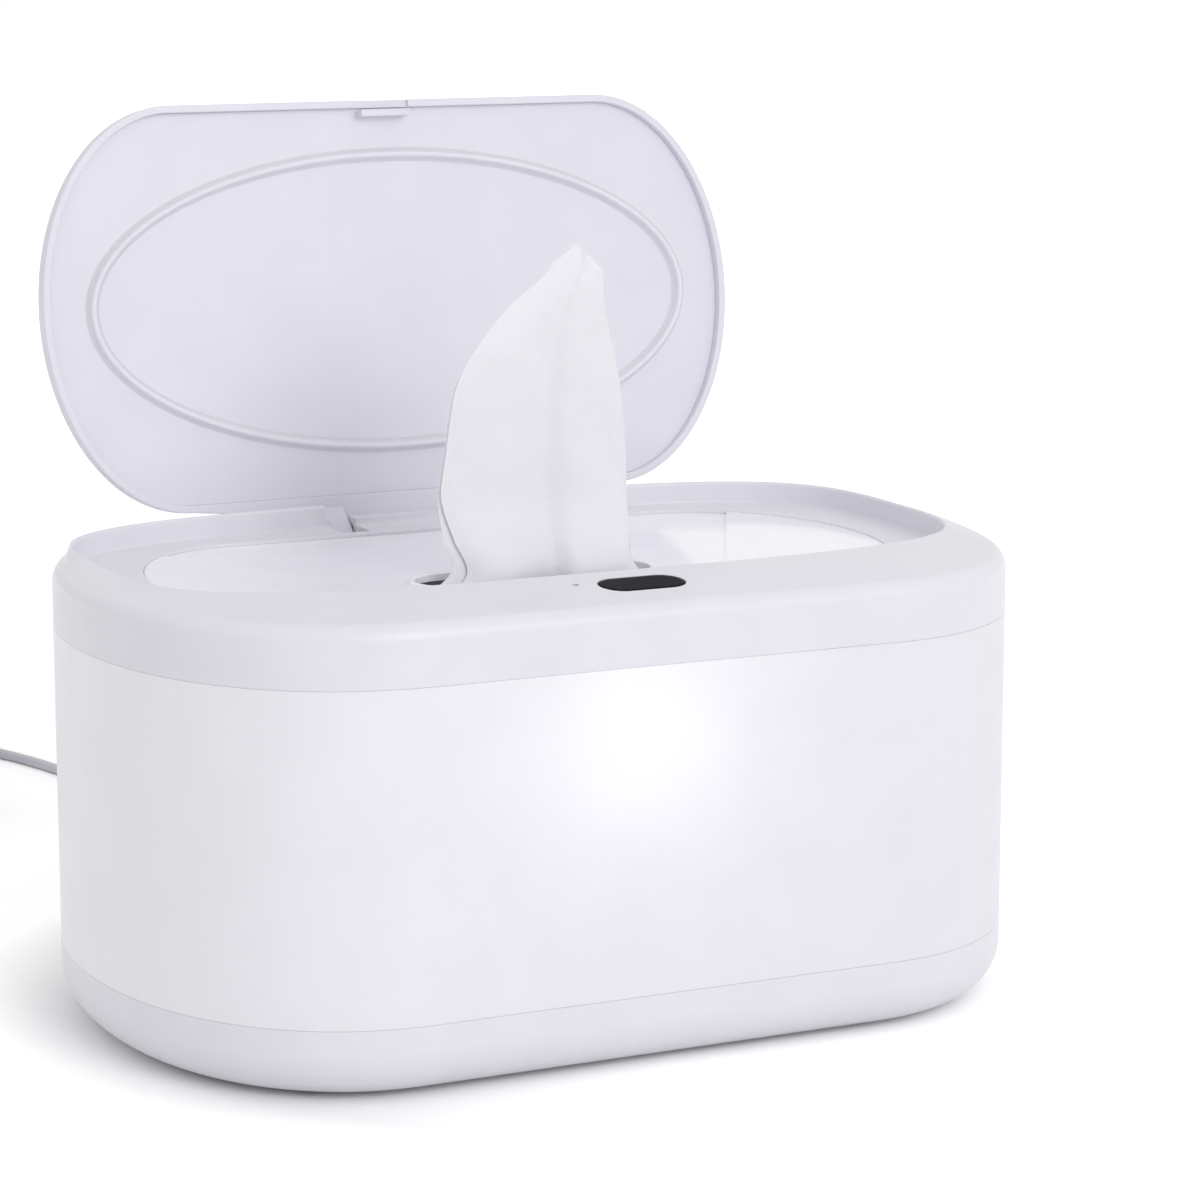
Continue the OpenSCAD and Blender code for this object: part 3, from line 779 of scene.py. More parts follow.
class Palette:
    """The warmer's finishes, each made into a material once."""

    SHELL = Finish("satin_white_plastic", (0.805, 0.79, 0.853), 0.34, grain=2600.0, depth=0.000006)
    # Painted shade: the shell's white made darker for the lid, whose inside stands in shade.
    LID_SHADED_SHELL = Finish("lid_white_plastic_painted_shade", (0.768, 0.753, 0.832), 0.38, grain=2600.0, depth=0.000006)
    BAND = GlowFinish("milky_band_plastic", (0.77, 0.76, 0.815), 0.42, grain=2200.0, depth=0.000006,
                      subsurface=0.1, lamp=(-0.0085, -0.0886, 0.0827))
    # Painted light: a white lighter than the shell's and a faint glow, which brighten the tray in its shaded
    # recess.
    TRAY_PAINTED_LIGHT = Finish("glossy_tray_plastic_painted_light", (0.93, 0.915, 0.98), 0.12, grain=60.0, depth=0.00008, polish=0.04,
                  coat=0.3, glow=0.035)
    SEAL = Finish("milky_silicone", (0.80, 0.79, 0.86), 0.45, grain=900.0, subsurface=0.2)
    TANK = Finish("tank_plastic", (0.80, 0.80, 0.84), 0.25)
    WIPE = ClothFinish("nonwoven_wipe", (0.95, 0.94, 0.985), 0.75, drift=0.015, sheen=0.12)
    WINDOW = Finish("black_display_glass", (0.003, 0.003, 0.004), 0.22, drift=0.2, grain=500.0,
                    depth=0.000001, polish=0.02, specular=0.01)
    BLACK = Finish("black_moulded_plastic", (0.02, 0.02, 0.024), 0.45, drift=0.1, grain=3000.0)
    LENS = Finish("indicator_lens_grey", (0.10, 0.10, 0.12), 0.2, drift=0.05)
    RUBBER = Finish("grey_foot_rubber", (0.10, 0.10, 0.11), 0.75, drift=0.08, grain=2500.0, depth=0.00003)
    STEEL = Finish("zinc_plated_steel", (0.60, 0.61, 0.63), 0.32, drift=0.05, metallic=1.0,
                   stretch=(1.0, 1.0, 8.0))
    ALUMINIUM = Finish("rolled_aluminium", (0.74, 0.75, 0.77), 0.38, drift=0.03, metallic=1.0,
                       stretch=(0.15, 4.0, 4.0))
    NICKEL = Finish("nickel_blades", (0.66, 0.65, 0.62), 0.22, drift=0.03, metallic=1.0,
                    stretch=(0.2, 3.0, 3.0))
    FILM = Finish("amber_heater_film", (0.55, 0.24, 0.04), 0.3, drift=0.12)
    FOAM = Finish("grey_insulating_foam", (0.22, 0.22, 0.24), 0.9, drift=0.15, grain=1500.0, depth=0.0003)
    BOARD = Finish("green_circuit_board", (0.02, 0.13, 0.045), 0.4, drift=0.15, coat=0.2)
    LED = Finish("warm_light_diodes", (0.85, 0.80, 0.58), 0.3, drift=0.04)
    LEAD = Finish("white_lead_vinyl", (0.62, 0.61, 0.67), 0.38, grain=2500.0)
    TIE = Finish("white_tie_plastic", (0.70, 0.70, 0.73), 0.45)
    ADAPTER = Finish("textured_adapter_plastic", (0.72, 0.715, 0.76), 0.55, grain=2600.0, depth=0.00003)

    def __init__(self) -> None:
        """Start with no materials made."""
        self.made: dict[str, bpy.types.Material] = {}

    def paint(self, obj: bpy.types.Object, finish: Finish) -> bpy.types.Object:
        """Give the whole of an object one finish.

        Args:
            obj: The object.
            finish: Its finish.

        Returns:
            The painted object.
        """
        if finish.label not in self.made:
            self.made[finish.label] = finish.material()
        if obj.material_slots:
            for seat in obj.material_slots:
                seat.material = self.made[finish.label]
        else:
            obj.data.materials.append(self.made[finish.label])
        return obj


@dataclass
class Workshop:
    """What every sub-assembly needs: the place, the palette and the list of pieces."""

    place: Place
    palette: Palette = field(default_factory=Palette)
    pieces: list[str] = field(default_factory=list)

    def fit(self, obj: bpy.types.Object, finish: Finish, body: Body, slot: str,
            *nodes: str) -> bpy.types.Object:
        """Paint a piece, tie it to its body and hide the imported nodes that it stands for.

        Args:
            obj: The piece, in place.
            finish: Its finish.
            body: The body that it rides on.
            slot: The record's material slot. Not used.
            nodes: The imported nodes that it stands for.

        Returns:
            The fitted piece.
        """
        self.palette.paint(obj, finish)
        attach(obj, body.value)
        if nodes:
            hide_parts(*nodes)
        self.pieces.append(obj.name)
        size = len(obj.data.polygons) if obj.type == "MESH" else 0
        LOG.info("%s rides on %s, %d faces", obj.name, body.value, size)
        return obj


@dataclass
class Housing:
    """The three-part case: rolled tub, light band and rim ring."""

    shop: Workshop
    wall: float = 2.5
    base_seam: float = 17.75
    ring_seam: float = 97.65
    seam_gap: float = 0.06
    seam_deep: float = 0.8
    seam_edge: float = 0.12
    base_roll: float = 12.3
    rim_h: float = 115.5
    shoulder_h: float = 112.6
    rim_roll: float = 4.4
    roll_turn: float = 68.0
    crest_r: float = 0.8
    ledge_h: float = 109.7
    ledge_t: float = 3.0
    column: tuple[float, float] = (84.0, 56.0)
    foot: tuple[float, float] = (62.0, 50.0)
    leg: tuple[float, float] = (84.0, 20.0)
    slot_x: tuple[float, float] = (19.2, 26.7)
    bay: tuple[float, float] = (28.0, 111.4)
    lugs: tuple[tuple[float, float], ...] = ((-18.8, 18.8), (27.2, 32.0), (-32.0, -27.2))
    board_post: tuple[float, float] = (44.0, -58.0)
    socket: tuple[float, float] = (-30.0, 10.5)
    pinhole: tuple[float, float] = (-16.0, -58.5)
    column_r: float = 4.0
    pad_r: float = 5.5
    well_r: float = 3.3
    screw_r: float = 1.7
    foot_seat_r: float = 6.1
    post_r: float = 3.5
    post_bore_r: float = 1.27
    socket_r: float = 5.1
    pinhole_r: float = 0.9
    hinge_room: tuple[tuple[float, float], ...] = (
        (61, 125), (61, 101.7), (74.5, 101.7), (79, 108.53), (79, 125))

    def corners(self, at: tuple[float, float]) -> list[tuple[float, float]]:
        """Return the four corner places, front left first."""
        return [(-at[0], -at[1]), (at[0], -at[1]), (-at[0], at[1]), (at[0], at[1])]

    def solid(self, name: str, shape: np.ndarray, axis: Axis, low: float, high: float) -> bpy.types.Object:
        """Make a straight-sided solid in the body's frame.

        Args:
            name: The object's name.
            shape: The flat shape.
            axis: The direction in which it is pushed out.
            low: Where it starts.
            high: Where it ends.

        Returns:
            The solid.
        """
        points = self.shop.place.case(prism_points(shape, axis, low, high))
        return new_object(name, points, skin_faces(len(shape), 2, False, True))

    def rods(self, radius: float, places: list[tuple[float, float]], low: float,
             high: float) -> list[bpy.types.Object]:
        """Make one upright round solid at each place."""
        return [self.solid("rod", disc(radius, place), Axis.Z, low, high) for place in places]

    def skin(self, name: str, profile: Profile, closed: bool = True) -> bpy.types.Object:
        """Loft a rounded profile in the body's frame."""
        rings = [self.shop.place.case(r) for r in profile.rounded(closed)]
        return loft(name, rings, closed=closed)

    def tub(self) -> bpy.types.Object:
        """Make the base tub with its foot seats, screw wells and socket hole.

        Returns:
            The tub.
        """
        low = self.base_seam - self.seam_gap / 2
        outline = Profile()
        for a in np.radians(np.arange(0, 90, 7.5)):
            draw, height = self.base_roll * (1 - math.sin(a)), self.base_roll * (1 - math.cos(a))
            outline.add(BODY.inset(draw).ring(height))
        outline.add(BODY.ring(self.base_roll)).add(BODY.ring(low), self.seam_edge)
        outline.add(BODY.inset(self.seam_deep).ring(low)).add(BODY.inset(self.seam_deep).ring(self.base_seam))
        outline.add(BODY.inset(self.wall).ring(self.base_seam))
        inner = self.base_roll - self.wall
        for a in np.radians(np.arange(90, -1, -15)):
            ring = BODY.inset(self.wall + inner * (1 - math.sin(a)))
            outline.add(ring.ring(self.wall + inner * (1 - math.cos(a))))
        tub = self.skin("tub_moulding", outline, closed=False)
        post_x, post_y = self.board_post
        posts = [(-post_x, post_y), (post_x, post_y)]
        columns = self.corners(self.column)
        legs = [(x, y + REAR_SHIFT) for x, y in self.corners(self.leg)]
        work(tub, Join.ADD, *self.rods(self.pad_r, columns, 1.5, 6.5),
             *self.rods(self.column_r, legs, 1.5, 9.5), *self.rods(self.post_r, posts, 1.5, 12.0))
        holes = [*self.rods(self.well_r, columns, -1.0, 2.6), *self.rods(self.screw_r, columns, 0.0, 8.0),
                 *self.rods(self.foot_seat_r, self.corners(self.foot), -1.0, 1.0),
                 *self.rods(self.post_bore_r, posts, 4.0, 13.0)]
        holes.append(self.solid("socket_hole", disc(self.socket_r, self.socket), Axis.Y, 70.0, 80.0))
        return level(shade(work(tub, Join.CUT, *holes)))

    def band(self) -> bpy.types.Object:
        """Make the light band between the two seams.

        Returns:
            The band.
        """
        low, high = self.base_seam + self.seam_gap / 2, self.ring_seam - self.seam_gap / 2
        deep = BODY.inset(self.seam_deep)
        back = BODY.inset(self.wall)
        outline = Profile().add(back.ring(self.base_seam)).add(deep.ring(self.base_seam)).add(deep.ring(low))
        outline.add(BODY.ring(low), self.seam_edge)
        for h in np.linspace(low, high, 9)[1:-1]:
            outline.add(BODY.ring(h))
        outline.add(BODY.ring(high), self.seam_edge).add(deep.ring(high)).add(deep.ring(self.ring_seam))
        outline.add(back.ring(self.ring_seam))
        return level(shade(self.skin("band_moulding", outline)))

    def ring_profile(self) -> Profile:
        """Draw the rim ring's section: wall, roll, crown, recess and ledge.

        Returns:
            The section's rings.
        """
        low = self.ring_seam + self.seam_gap / 2
        roll_h = self.shoulder_h - self.rim_roll * math.sin(math.radians(self.roll_turn))
        turn_in = self.rim_roll * (1 - math.cos(math.radians(self.roll_turn)))
        shoulder = BODY.inset(turn_in).at(RAYS)
        crest = OPENING.inset(-self.crest_r).at(RAYS)
        outline = Profile().add(BODY.inset(self.wall).ring(self.ring_seam))
        outline.add(BODY.inset(self.seam_deep).ring(self.ring_seam)).add(BODY.inset(self.seam_deep).ring(low))
        outline.add(BODY.ring(low), self.seam_edge)
        for a in np.radians(np.linspace(0, self.roll_turn, 10)):
            draw, height = self.rim_roll * (1 - math.cos(a)), roll_h + self.rim_roll * math.sin(a)
            outline.add(BODY.inset(draw).ring(height))
        for f in np.linspace(0, 1, 15)[1:]:
            flat = shoulder * (1 - f) + crest * f
            height = self.shoulder_h + (self.rim_h - self.shoulder_h) * f ** 0.85
            outline.add(np.column_stack([flat, np.full(len(flat), height)]))
        for a in np.radians((22.5, 45.0, 67.5, 90.0)):
            edge = OPENING.inset(-self.crest_r * (1 - math.sin(a)))
            outline.add(edge.ring(self.rim_h - self.crest_r * (1 - math.cos(a))))
        under = self.ledge_h - self.ledge_t
        outline.add(OPENING.inset(0.05).ring(self.ledge_h), 0.5).add(MOUTH.ring(self.ledge_h), 0.15)
        outline.add(MOUTH.ring(under), 0.3).add(OPENING.inset(-2.0).ring(under))
        outline.add(OPENING.inset(-2.2).ring(self.rim_h - 5.2))
        slope = BODY.inset(self.wall + 1.6).at(RAYS) * 0.85 + OPENING.inset(-2.2).at(RAYS) * 0.15
        outline.add(np.column_stack([slope, np.full(len(slope), self.shoulder_h - 3.4)]))
        return outline.add(BODY.inset(self.wall).ring(roll_h - 1.0))

    def ring(self) -> bpy.types.Object:
        """Make the rim ring with its hinge slots, window seat and pinhole.

        Returns:
            The ring.
        """
        ring = self.skin("ring_moulding", self.ring_profile())
        room = np.array(self.hinge_room)
        near, far = self.slot_x
        tools = [self.solid("slot", room, Axis.X, a, b) for a, b in ((near, far), (-far, -near))]
        half, floor = self.bay
        tools.append(self.solid("bay", box_shape((66.0, 80.0), (floor, 125.0)), Axis.X, -half, half))
        tools.append(Display(self.shop).seat())
        tools.append(self.solid("pinhole", disc(self.pinhole_r, self.pinhole), Axis.Z, 104.0, 118.0))
        tools.append(self.solid("groove", box_shape((-9.0, 7.0), (-44.2, -42.7)), Axis.Z, 107.6, 108.9))
        work(ring, Join.CUT, *tools)
        soften(ring, 0.3, 2, 50.0)
        lugs = [self.solid("lug", box_shape((66.5, 75.8), (100.2, 107.5)), Axis.X, a, b)
                for a, b in self.lugs]
        for lug in lugs:
            soften(lug, 0.4)
        columns = [self.solid("column", disc(self.column_r, c), Axis.Z, 6.5, 112.0 if c[1] < 0 else 107.7)
                   for c in self.corners(self.column)]
        return level(shade(merge("ring_moulding", [ring, *lugs, *columns])))

    def build(self) -> None:
        """Make the three mouldings and fit them."""
        self.shop.fit(self.tub(), Palette.SHELL, Body.CASE, "shell", "base_tub")
        self.shop.fit(self.band(), Palette.BAND, Body.CASE, "band", "light_band")
        self.shop.fit(self.ring(), Palette.SHELL, Body.CASE, "shell", "top_ring")


@dataclass
class Display:
    """The black display window that lies flush in the front of the rim."""

    shop: Workshop
    length: float = 22.0
    width: float = 11.0
    y: float = -61.5
    top: float = 114.35
    slope: float = 6.0
    gap: float = 0.15

    def stadium(self, grow: float, height: float) -> np.ndarray:
        """Return the window's outline at a height over its own face.

        Args:
            grow: How far the outline is drawn out.
            height: Height over the window's face, in millimetres.

        Returns:
            Rows of x, y, z in metres, in the row frame.
        """
        flat = soft_box(self.length + 2 * grow, self.width + 2 * grow, self.width / 2 + grow - 0.001, 16)
        tilt = math.radians(self.slope)
        points = np.column_stack([
            flat[:, 0],
            self.y + flat[:, 1] * math.cos(tilt) - height * math.sin(tilt),
            self.top + flat[:, 1] * math.sin(tilt) + height * math.cos(tilt)])
        return self.shop.place.case(points)

    def seat(self) -> bpy.types.Object:
        """Return the solid that cuts the window's seat out of the rim."""
        return loft("window_seat", [self.stadium(self.gap, -9.0), self.stadium(self.gap, 3.0)])

    def build(self) -> None:
        """Make the window with a fine rounded edge."""
        levels = ((0.0, -2.4), (0.0, -0.3), (-0.09, -0.09), (-0.3, 0.0), (-1.2, 0.0))
        window = loft("display_glass", [self.stadium(g, h) for g, h in levels])
        self.shop.fit(shade(window, 40.0), Palette.WINDOW, Body.CASE, "window", "display_window")


@dataclass
class Tray:
    """The dispensing plate: a rim, a fan panel, a lipped wipe slot and a notch for the latch."""

    shop: Workshop
    low: float = 105.9
    under: float = 108.0
    top: float = 109.5
    panel: float = 108.9
    lip_top: float = 109.8
    slot: tuple[float, float, float, float] = (-6.8, -14.8, 31.2, 9.0)
    lip: float = 1.6
    fan: tuple[tuple[float, float], ...] = ((-39, -30), (39, -30), (88, 64), (-88, 64))

    def slot_ring(self, grow: float, height: float, sides: int = 96) -> np.ndarray:
        """Draw the slot's outline.

        Args:
            grow: How far it is drawn out.
            height: Its height over the body's underside.
            sides: Points round it.

        Returns:
            Rows of x, y, z in metres, in the row frame.
        """
        x, y, half_x, half_y = self.slot
        flat = soft_box(2 * (half_x + grow), 2 * (half_y + grow), half_y + grow - 0.001, sides // 4)
        points = np.column_stack([flat[:, 0] + x, flat[:, 1] + y, np.full(len(flat), height)])
        return self.shop.place.case(points)

    def build(self) -> None:
        """Make the plate, sink its panel, open the slot and the notch, and add the lip."""
        case = Housing(self.shop)
        edge = MOUTH.inset(0.15)
        inner = MOUTH.inset(2.5)
        outline = Profile().add(inner.inset(4).ring(self.under)).add(inner.ring(self.under))
        outline.add(inner.ring(self.low))
        outline.add(edge.ring(self.low), 0.3).add(edge.ring(self.top), 0.12).add(edge.inset(4).ring(self.top))
        plate = case.skin("tray_moulding", outline, closed=False)
        work(plate, Join.CUT, case.solid("fan", np.array(self.fan), Axis.Z, self.panel, 112.0),
             case.solid("notch", box_shape((-9.5, 7.5), (-44.7, -41.1)), Axis.Z, 104.9, 110.5),
             loft("slot_hole", [self.slot_ring(self.lip / 2, 100.0), self.slot_ring(self.lip / 2, 112.0)]))
        soften(plate, 0.2, 2, 50.0)
        top = self.lip_top
        levels = ((self.lip, self.under), (self.lip, top - 0.35), (self.lip - 0.1, top - 0.1),
                  (self.lip - 0.35, top), (0.35, top), (0.1, top - 0.1), (0.0, top - 0.35), (0.0, self.under))
        lip = loft("lip", [self.slot_ring(g, h) for g, h in levels], closed=True)
        tray = level(shade(merge("tray_moulding", [plate, lip])))
        # The tray's lighter white and faint glow are painted light for its shaded recess.
        self.shop.fit(tray, Palette.TRAY_PAINTED_LIGHT, Body.CASE, "tray", "dispensing_plate")


@dataclass
class Lid:
    """The open lid: shell with hinge arms, flat liner, oval seal and latch tongue."""

    shop: Workshop
    lip_h: float = 109.85
    top: float = 115.5
    wall: float = 2.0
    roll: float = 1.6
    liner_h: float = 112.2
    liner_t: float = 1.3
    ridge: tuple[tuple[float, float], ...] = (
        (-1.0, 0.0), (-0.75, 0.08), (-0.4, 0.3), (-0.1, 0.8), (0.05, 1.4), (0.2, 1.85), (0.5, 2.1),
        (0.85, 2.2), (1.2, 2.1), (1.5, 1.85), (1.65, 1.4), (1.8, 0.8), (2.1, 0.3), (2.45, 0.08), (2.7, 0.0))
    notch_x: tuple[float, float] = (-9.4, 6.3)
    latch_x: tuple[float, float] = (-8.0, 6.0)
    barrel_r: float = 3.2
    bore_r: float = 1.55
    arm_side: tuple[tuple[float, float], ...] = (
        (59.2, 110), (61.6, 110), (70.4, 101.6), (72, 104.2), (73.38, 107.09), (60.6, 113.2), (59.2, 113.2))
    half_skirt: tuple[tuple[float, float], ...] = (
        (27.3, 64.8), (27.3, 61.7), (50.0, 61.7), (61.5, 60.6), (61.5, 59.6))
    arms: tuple[float, float] = (19.8, 26.1)
    skirt_top: float = 113.2

    def skin(self, name: str, profile: Profile, closed: bool) -> bpy.types.Object:
        """Loft a rounded profile of the closed lid and swing it open."""
        return loft(name, [self.shop.place.opened(r) for r in profile.rounded(closed)], closed=closed)

    def solid(self, name: str, shape: np.ndarray, axis: Axis, low: float, high: float) -> bpy.types.Object:
        """Make a straight-sided solid of the closed lid and swing it open."""
        points = self.shop.place.opened(prism_points(shape, axis, low, high))
        return new_object(name, points, skin_faces(len(shape), 2, False, True))

    def arm(self, low: float, high: float) -> bpy.types.Object:
        """Make one hinge arm with its barrel.

        Args:
            low: The arm's left side.
            high: Its right side.

        Returns:
            The arm.
        """
        pivot = (self.shop.place.pivot_y, self.shop.place.pivot_h)
        arm = self.solid("arm", np.array(self.arm_side), Axis.X, low, high)
        barrel = disc(self.barrel_r, pivot, 40)
        work(arm, Join.ADD, self.solid("barrel", barrel, Axis.X, low, high))
        bore = disc(self.bore_r, pivot, 32)
        work(arm, Join.CUT, self.solid("bore", bore, Axis.X, low - 1, high + 1))
        return soften(arm, 0.3, 2, 45.0)

    def skirt(self) -> bpy.types.Object:
        """Make the skirt along the rear edge, with the tab that fills the ring's bay.

        Returns:
            The skirt.
        """
        half = np.array(self.half_skirt)
        shape = np.concatenate([half, (half * [-1, 1])[::-1]])
        skirt = self.solid("skirt", shape, Axis.Z, self.lip_h + 0.02, self.skirt_top)
        return soften(skirt, 0.35, 3, 30.0)

    def shell(self) -> bpy.types.Object:
        """Make the shell: lip, rolled edge, flat top, notch, skirt and arms.

        Returns:
            The shell.
        """
        outline = Profile().add(LID.inset(self.wall + 6).ring(self.top - self.wall))
        outline.add(LID.inset(self.wall).ring(self.top - self.wall), 0.4)
        outline.add(LID.inset(self.wall).ring(self.lip_h), 0.3).add(LID.ring(self.lip_h), 0.45)
        for a in np.radians(np.arange(0, 91, 11.25)):
            draw, height = self.roll * (1 - math.cos(a)), self.top - self.roll * (1 - math.sin(a))
            outline.add(LID.inset(draw).ring(height))
        outline.add(LID.inset(self.roll + 6).ring(self.top))
        shell = self.skin("lid_moulding", outline, closed=False)
        notch = box_shape(self.notch_x, (-47.2, -43.2))
        work(shell, Join.CUT, self.solid("notch", notch, Axis.Z, self.lip_h - 1, self.lip_h + 1.1))
        low, high = self.arms
        parts = [shell, self.skirt(), self.arm(low, high), self.arm(-high, -low)]
        return level(shade(merge("lid_moulding", parts)))

    def liner(self) -> bpy.types.Object:
        """Make the liner inside the lip, with a fine rounded edge.

        Returns:
            The liner.
        """
        edge = LID.inset(self.wall + 0.02)
        back = self.liner_h + self.liner_t
        outline = Profile().add(edge.inset(5).ring(self.liner_h)).add(edge.ring(self.liner_h), 0.08)
        outline.add(edge.ring(back)).add(edge.inset(5).ring(back))
        return level(shade(self.skin("liner_moulding", outline, closed=False)))

    def seal(self) -> bpy.types.Object:
        """Make the oval seal: a soft ridge that flows into the liner.

        Returns:
            The seal.
        """
        outline = Profile()
        for draw, over in self.ridge:
            outline.add(SEAL.inset(draw).ring(self.liner_h - over))
        return shade(self.skin("seal_ring", outline, closed=True), 60.0)

    def latch(self) -> bpy.types.Object:
        """Make the latch tongue with its bead.

        Returns:
            The tongue.
        """
        blade = box_shape(self.latch_x, (-43.2, -41.8))
        tongue = self.solid("latch_tongue", blade, Axis.Z, 107.8, self.liner_h)
        bead = self.solid("bead", box_shape(self.latch_x, (-43.6, -43.1)), Axis.Z, 107.9, 108.6)
        return shade(soften(work(tongue, Join.ADD, bead), 0.2, 2, 45.0))

    def build(self) -> None:
        """Make and fit the lid's four pieces."""
        # The lid's pieces take the darkened white, which is painted shade.
        self.shop.fit(self.shell(), Palette.LID_SHADED_SHELL, Body.LID, "shell", "lid_shell")
        self.shop.fit(self.liner(), Palette.LID_SHADED_SHELL, Body.LID, "shell", "lid_liner")
        self.shop.fit(self.seal(), Palette.SEAL, Body.LID, "seal", "lid_seal")
        self.shop.fit(self.latch(), Palette.LID_SHADED_SHELL, Body.LID, "shell", "lid_latch")


@dataclass
class Wipes:
    """The folded stack in the tank and the wipe that stands up through the slot."""

    shop: Workshop
    stack_low: float = 19.2
    stack_top: float = 85.2
    layers: int = 22
    cut: tuple[float, float] = (0.130, 0.104)
    foot: float = 0.0864
    squashed: float = 0.24
    thickness: float = 0.0004
    tip: float = 190.7
    tip_share: float = 0.43
    rows: int = 110
    across: int = 150
    middle: float = -12.0
    lean: float = 6.0
    lean_from: float = 130.0
    lean_over: float = 22.0
    left: tuple[tuple[float, float], ...] = (
        (85, -30), (104, -35), (107, -34.4), (110.5, -30), (119.3, -30), (129.5, -30.5), (141.2, -28.8),
        (149, -27.7), (156.8, -26), (165.6, -20.8), (176.4, -11.1), (184.2, -1.2), (187.1, 0.3))
    right: tuple[tuple[float, float], ...] = (
        (85, 20), (104, 23), (107, 22.2), (110.5, 19.3), (120.2, 19.5), (130.4, 19.9), (159.7, 17.5),
        (176.4, 13.9), (184.2, 13.4))
    folds: tuple[tuple[float, float, float], ...] = (
        (0.27, -2.3, 1.0), (0.40, -0.8, 1.0), (0.51, 1.1, 1.0), (0.575, 1.4, 1.0), (0.61, 0.1, 1.0),
        (0.65, -1.6, 1.0), (0.74, -2.4, 1.0), (0.87, -2.5, 1.0), (0.97, -1.9, 1.0), (1.0, -0.4, 1.0),
        (0.95, 1.6, 0.99), (0.80, 2.8, 0.96), (0.55, 3.6, 0.90), (0.30, 2.6, 0.82), (0.06, 1.4, 0.76),
        (0.0, 2.6, 0.72), (0.07, 3.9, 0.68), (0.35, 4.6, 0.62), (0.62, 5.0, 0.56))

    def pile(self) -> bpy.types.Object:
        """Make the folded stack, whose sides show its layers.

        Returns:
            The stack.
        """
        edge = Outline(86.0, 42.0, 26.0, 2.8, REAR_SHIFT)
        rays = even_rays(edge, 200)
        step = (self.stack_top - self.stack_low) / self.layers
        rings = []
        for k in range(self.layers):
            low = self.stack_low + k * step
            wander = 0.35 * np.sin(rays * (3 + k % 4) + k * 1.7)
            for share, draw in ((0.08, 0.9), (0.3, 0.35), (0.7, 0.35), (0.92, 0.9)):
                flat = edge.inset(draw + 0.3).at(rays)
                away = flat - RAY_CENTRE
                flat = flat - away / np.linalg.norm(away, axis=1, keepdims=True) * (wander + 0.35)[:, None]
                rings.append(np.column_stack([flat, np.full(len(flat), low + share * step)]))
        for inset in (10.0, 25.0):
            rings.insert(0, edge.inset(inset).ring(self.stack_low + 0.1, rays))
            flat = edge.inset(inset).at(rays)
            crown = self.stack_top - 0.3 + 0.2 * np.sin(flat[:, 0] * 0.12)
            rings.append(np.column_stack([flat, crown]))
        return shade(loft("wipe_pile", [self.shop.place.case(r) for r in rings]), 60.0)

    def height(self, u: float) -> float:
        """Return how high the front of the wipe reaches at a share of its width."""
        if u < self.tip_share:
            return self.tip - 4.5 * (self.tip_share - u) / self.tip_share
        return self.tip - 7.0 * (u - self.tip_share) / (1 - self.tip_share)

    def section(self, v: float) -> np.ndarray:
        """Lay out the wipe's folds at one share of its height.

        Args:
            v: 0 at the stack and 1 at the tip.

        Returns:
            Rows of a share of the width, a depth in millimetres and a share of the full height.
        """
        ease = v * v * (3 - 2 * v)
        slim = 1 - 0.75 * ease
        step_in = 0.20 * max(0.0, 1 - v / 0.45) ** 1.2
        knots = np.array([(step_in, 0.2, 1.0), (step_in + 0.05, -1.2, 1.0), *self.folds])
        knots[:, 1] *= slim
        return knots

    def edge(self, knots: np.ndarray, z: np.ndarray) -> np.ndarray:
        """Return a side edge's x at some heights, along a smooth curve."""
        return smooth_through(knots[:, 0], knots[:, 1], np.clip(z, knots[0, 0], knots[-1, 0]))

    def sheet(self) -> bpy.types.Object:
        """Make the standing wipe: one sheet in soft folds, pinched towards its tip.

        Returns:
            The wipe, with its own small thickness.
        """
        left, right = np.array(self.left), np.array(self.right)
        base = self.stack_top + 0.3
        grid = np.zeros((self.rows + 1, self.across + 1, 3))
        for r in range(self.rows + 1):
            v = r / self.rows
            knots = self.section(v)
            steps = np.hypot(np.diff(knots[:, 0]) * 50, np.diff(knots[:, 1]))
            walk = np.concatenate([[0.0], np.cumsum(steps)])
            t = np.linspace(0.0, walk[-1], self.across + 1)
            share, depth, reach = (smooth_through(walk, knots[:, c], t) for c in range(3))
            share = np.clip(share, 0.0, 1.0)
            top = np.array([self.height(u) for u in share])
            z = base + v * reach * (top - base)
            x = self.edge(left, z) * (1 - share) + self.edge(right, z) * share
            ripple = 0.22 * np.sin(x * 0.31 + z * 0.09) * np.sin(z * 0.12 + 1.0)
            low = np.clip((self.lean_from - z) / self.lean_over, 0.0, 1.0)
            y = self.middle - self.lean * low * low * (3 - 2 * low) + depth
            y += ripple * (0.4 + 0.6 * math.sin(math.pi * v))
            grid[r] = np.column_stack([x, y, z])
        points = self.shop.place.case(grid.reshape(-1, 3))
        wide = self.across + 1
        faces = [(r * wide + c, r * wide + c + 1, (r + 1) * wide + c + 1, (r + 1) * wide + c)
                 for r in range(self.rows) for c in range(self.across)]
        sheet = new_object("wipe_drawn", points, faces)
        thick = sheet.modifiers.new("thickness", "SOLIDIFY")
        thick.thickness = self.thickness
        thick.offset = 0.0
        return shade(bake(sheet), 70.0)

    def build(self) -> None:
        """Make and fit the stack and the standing wipe."""
        pile = self.shop.fit(self.pile(), Palette.WIPE, Body.CASE, "wipe", "wipe_stack")
        sheet = self.shop.fit(self.sheet(), Palette.WIPE, Body.CASE, "wipe", "wipe_sheet")
        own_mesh(sheet)


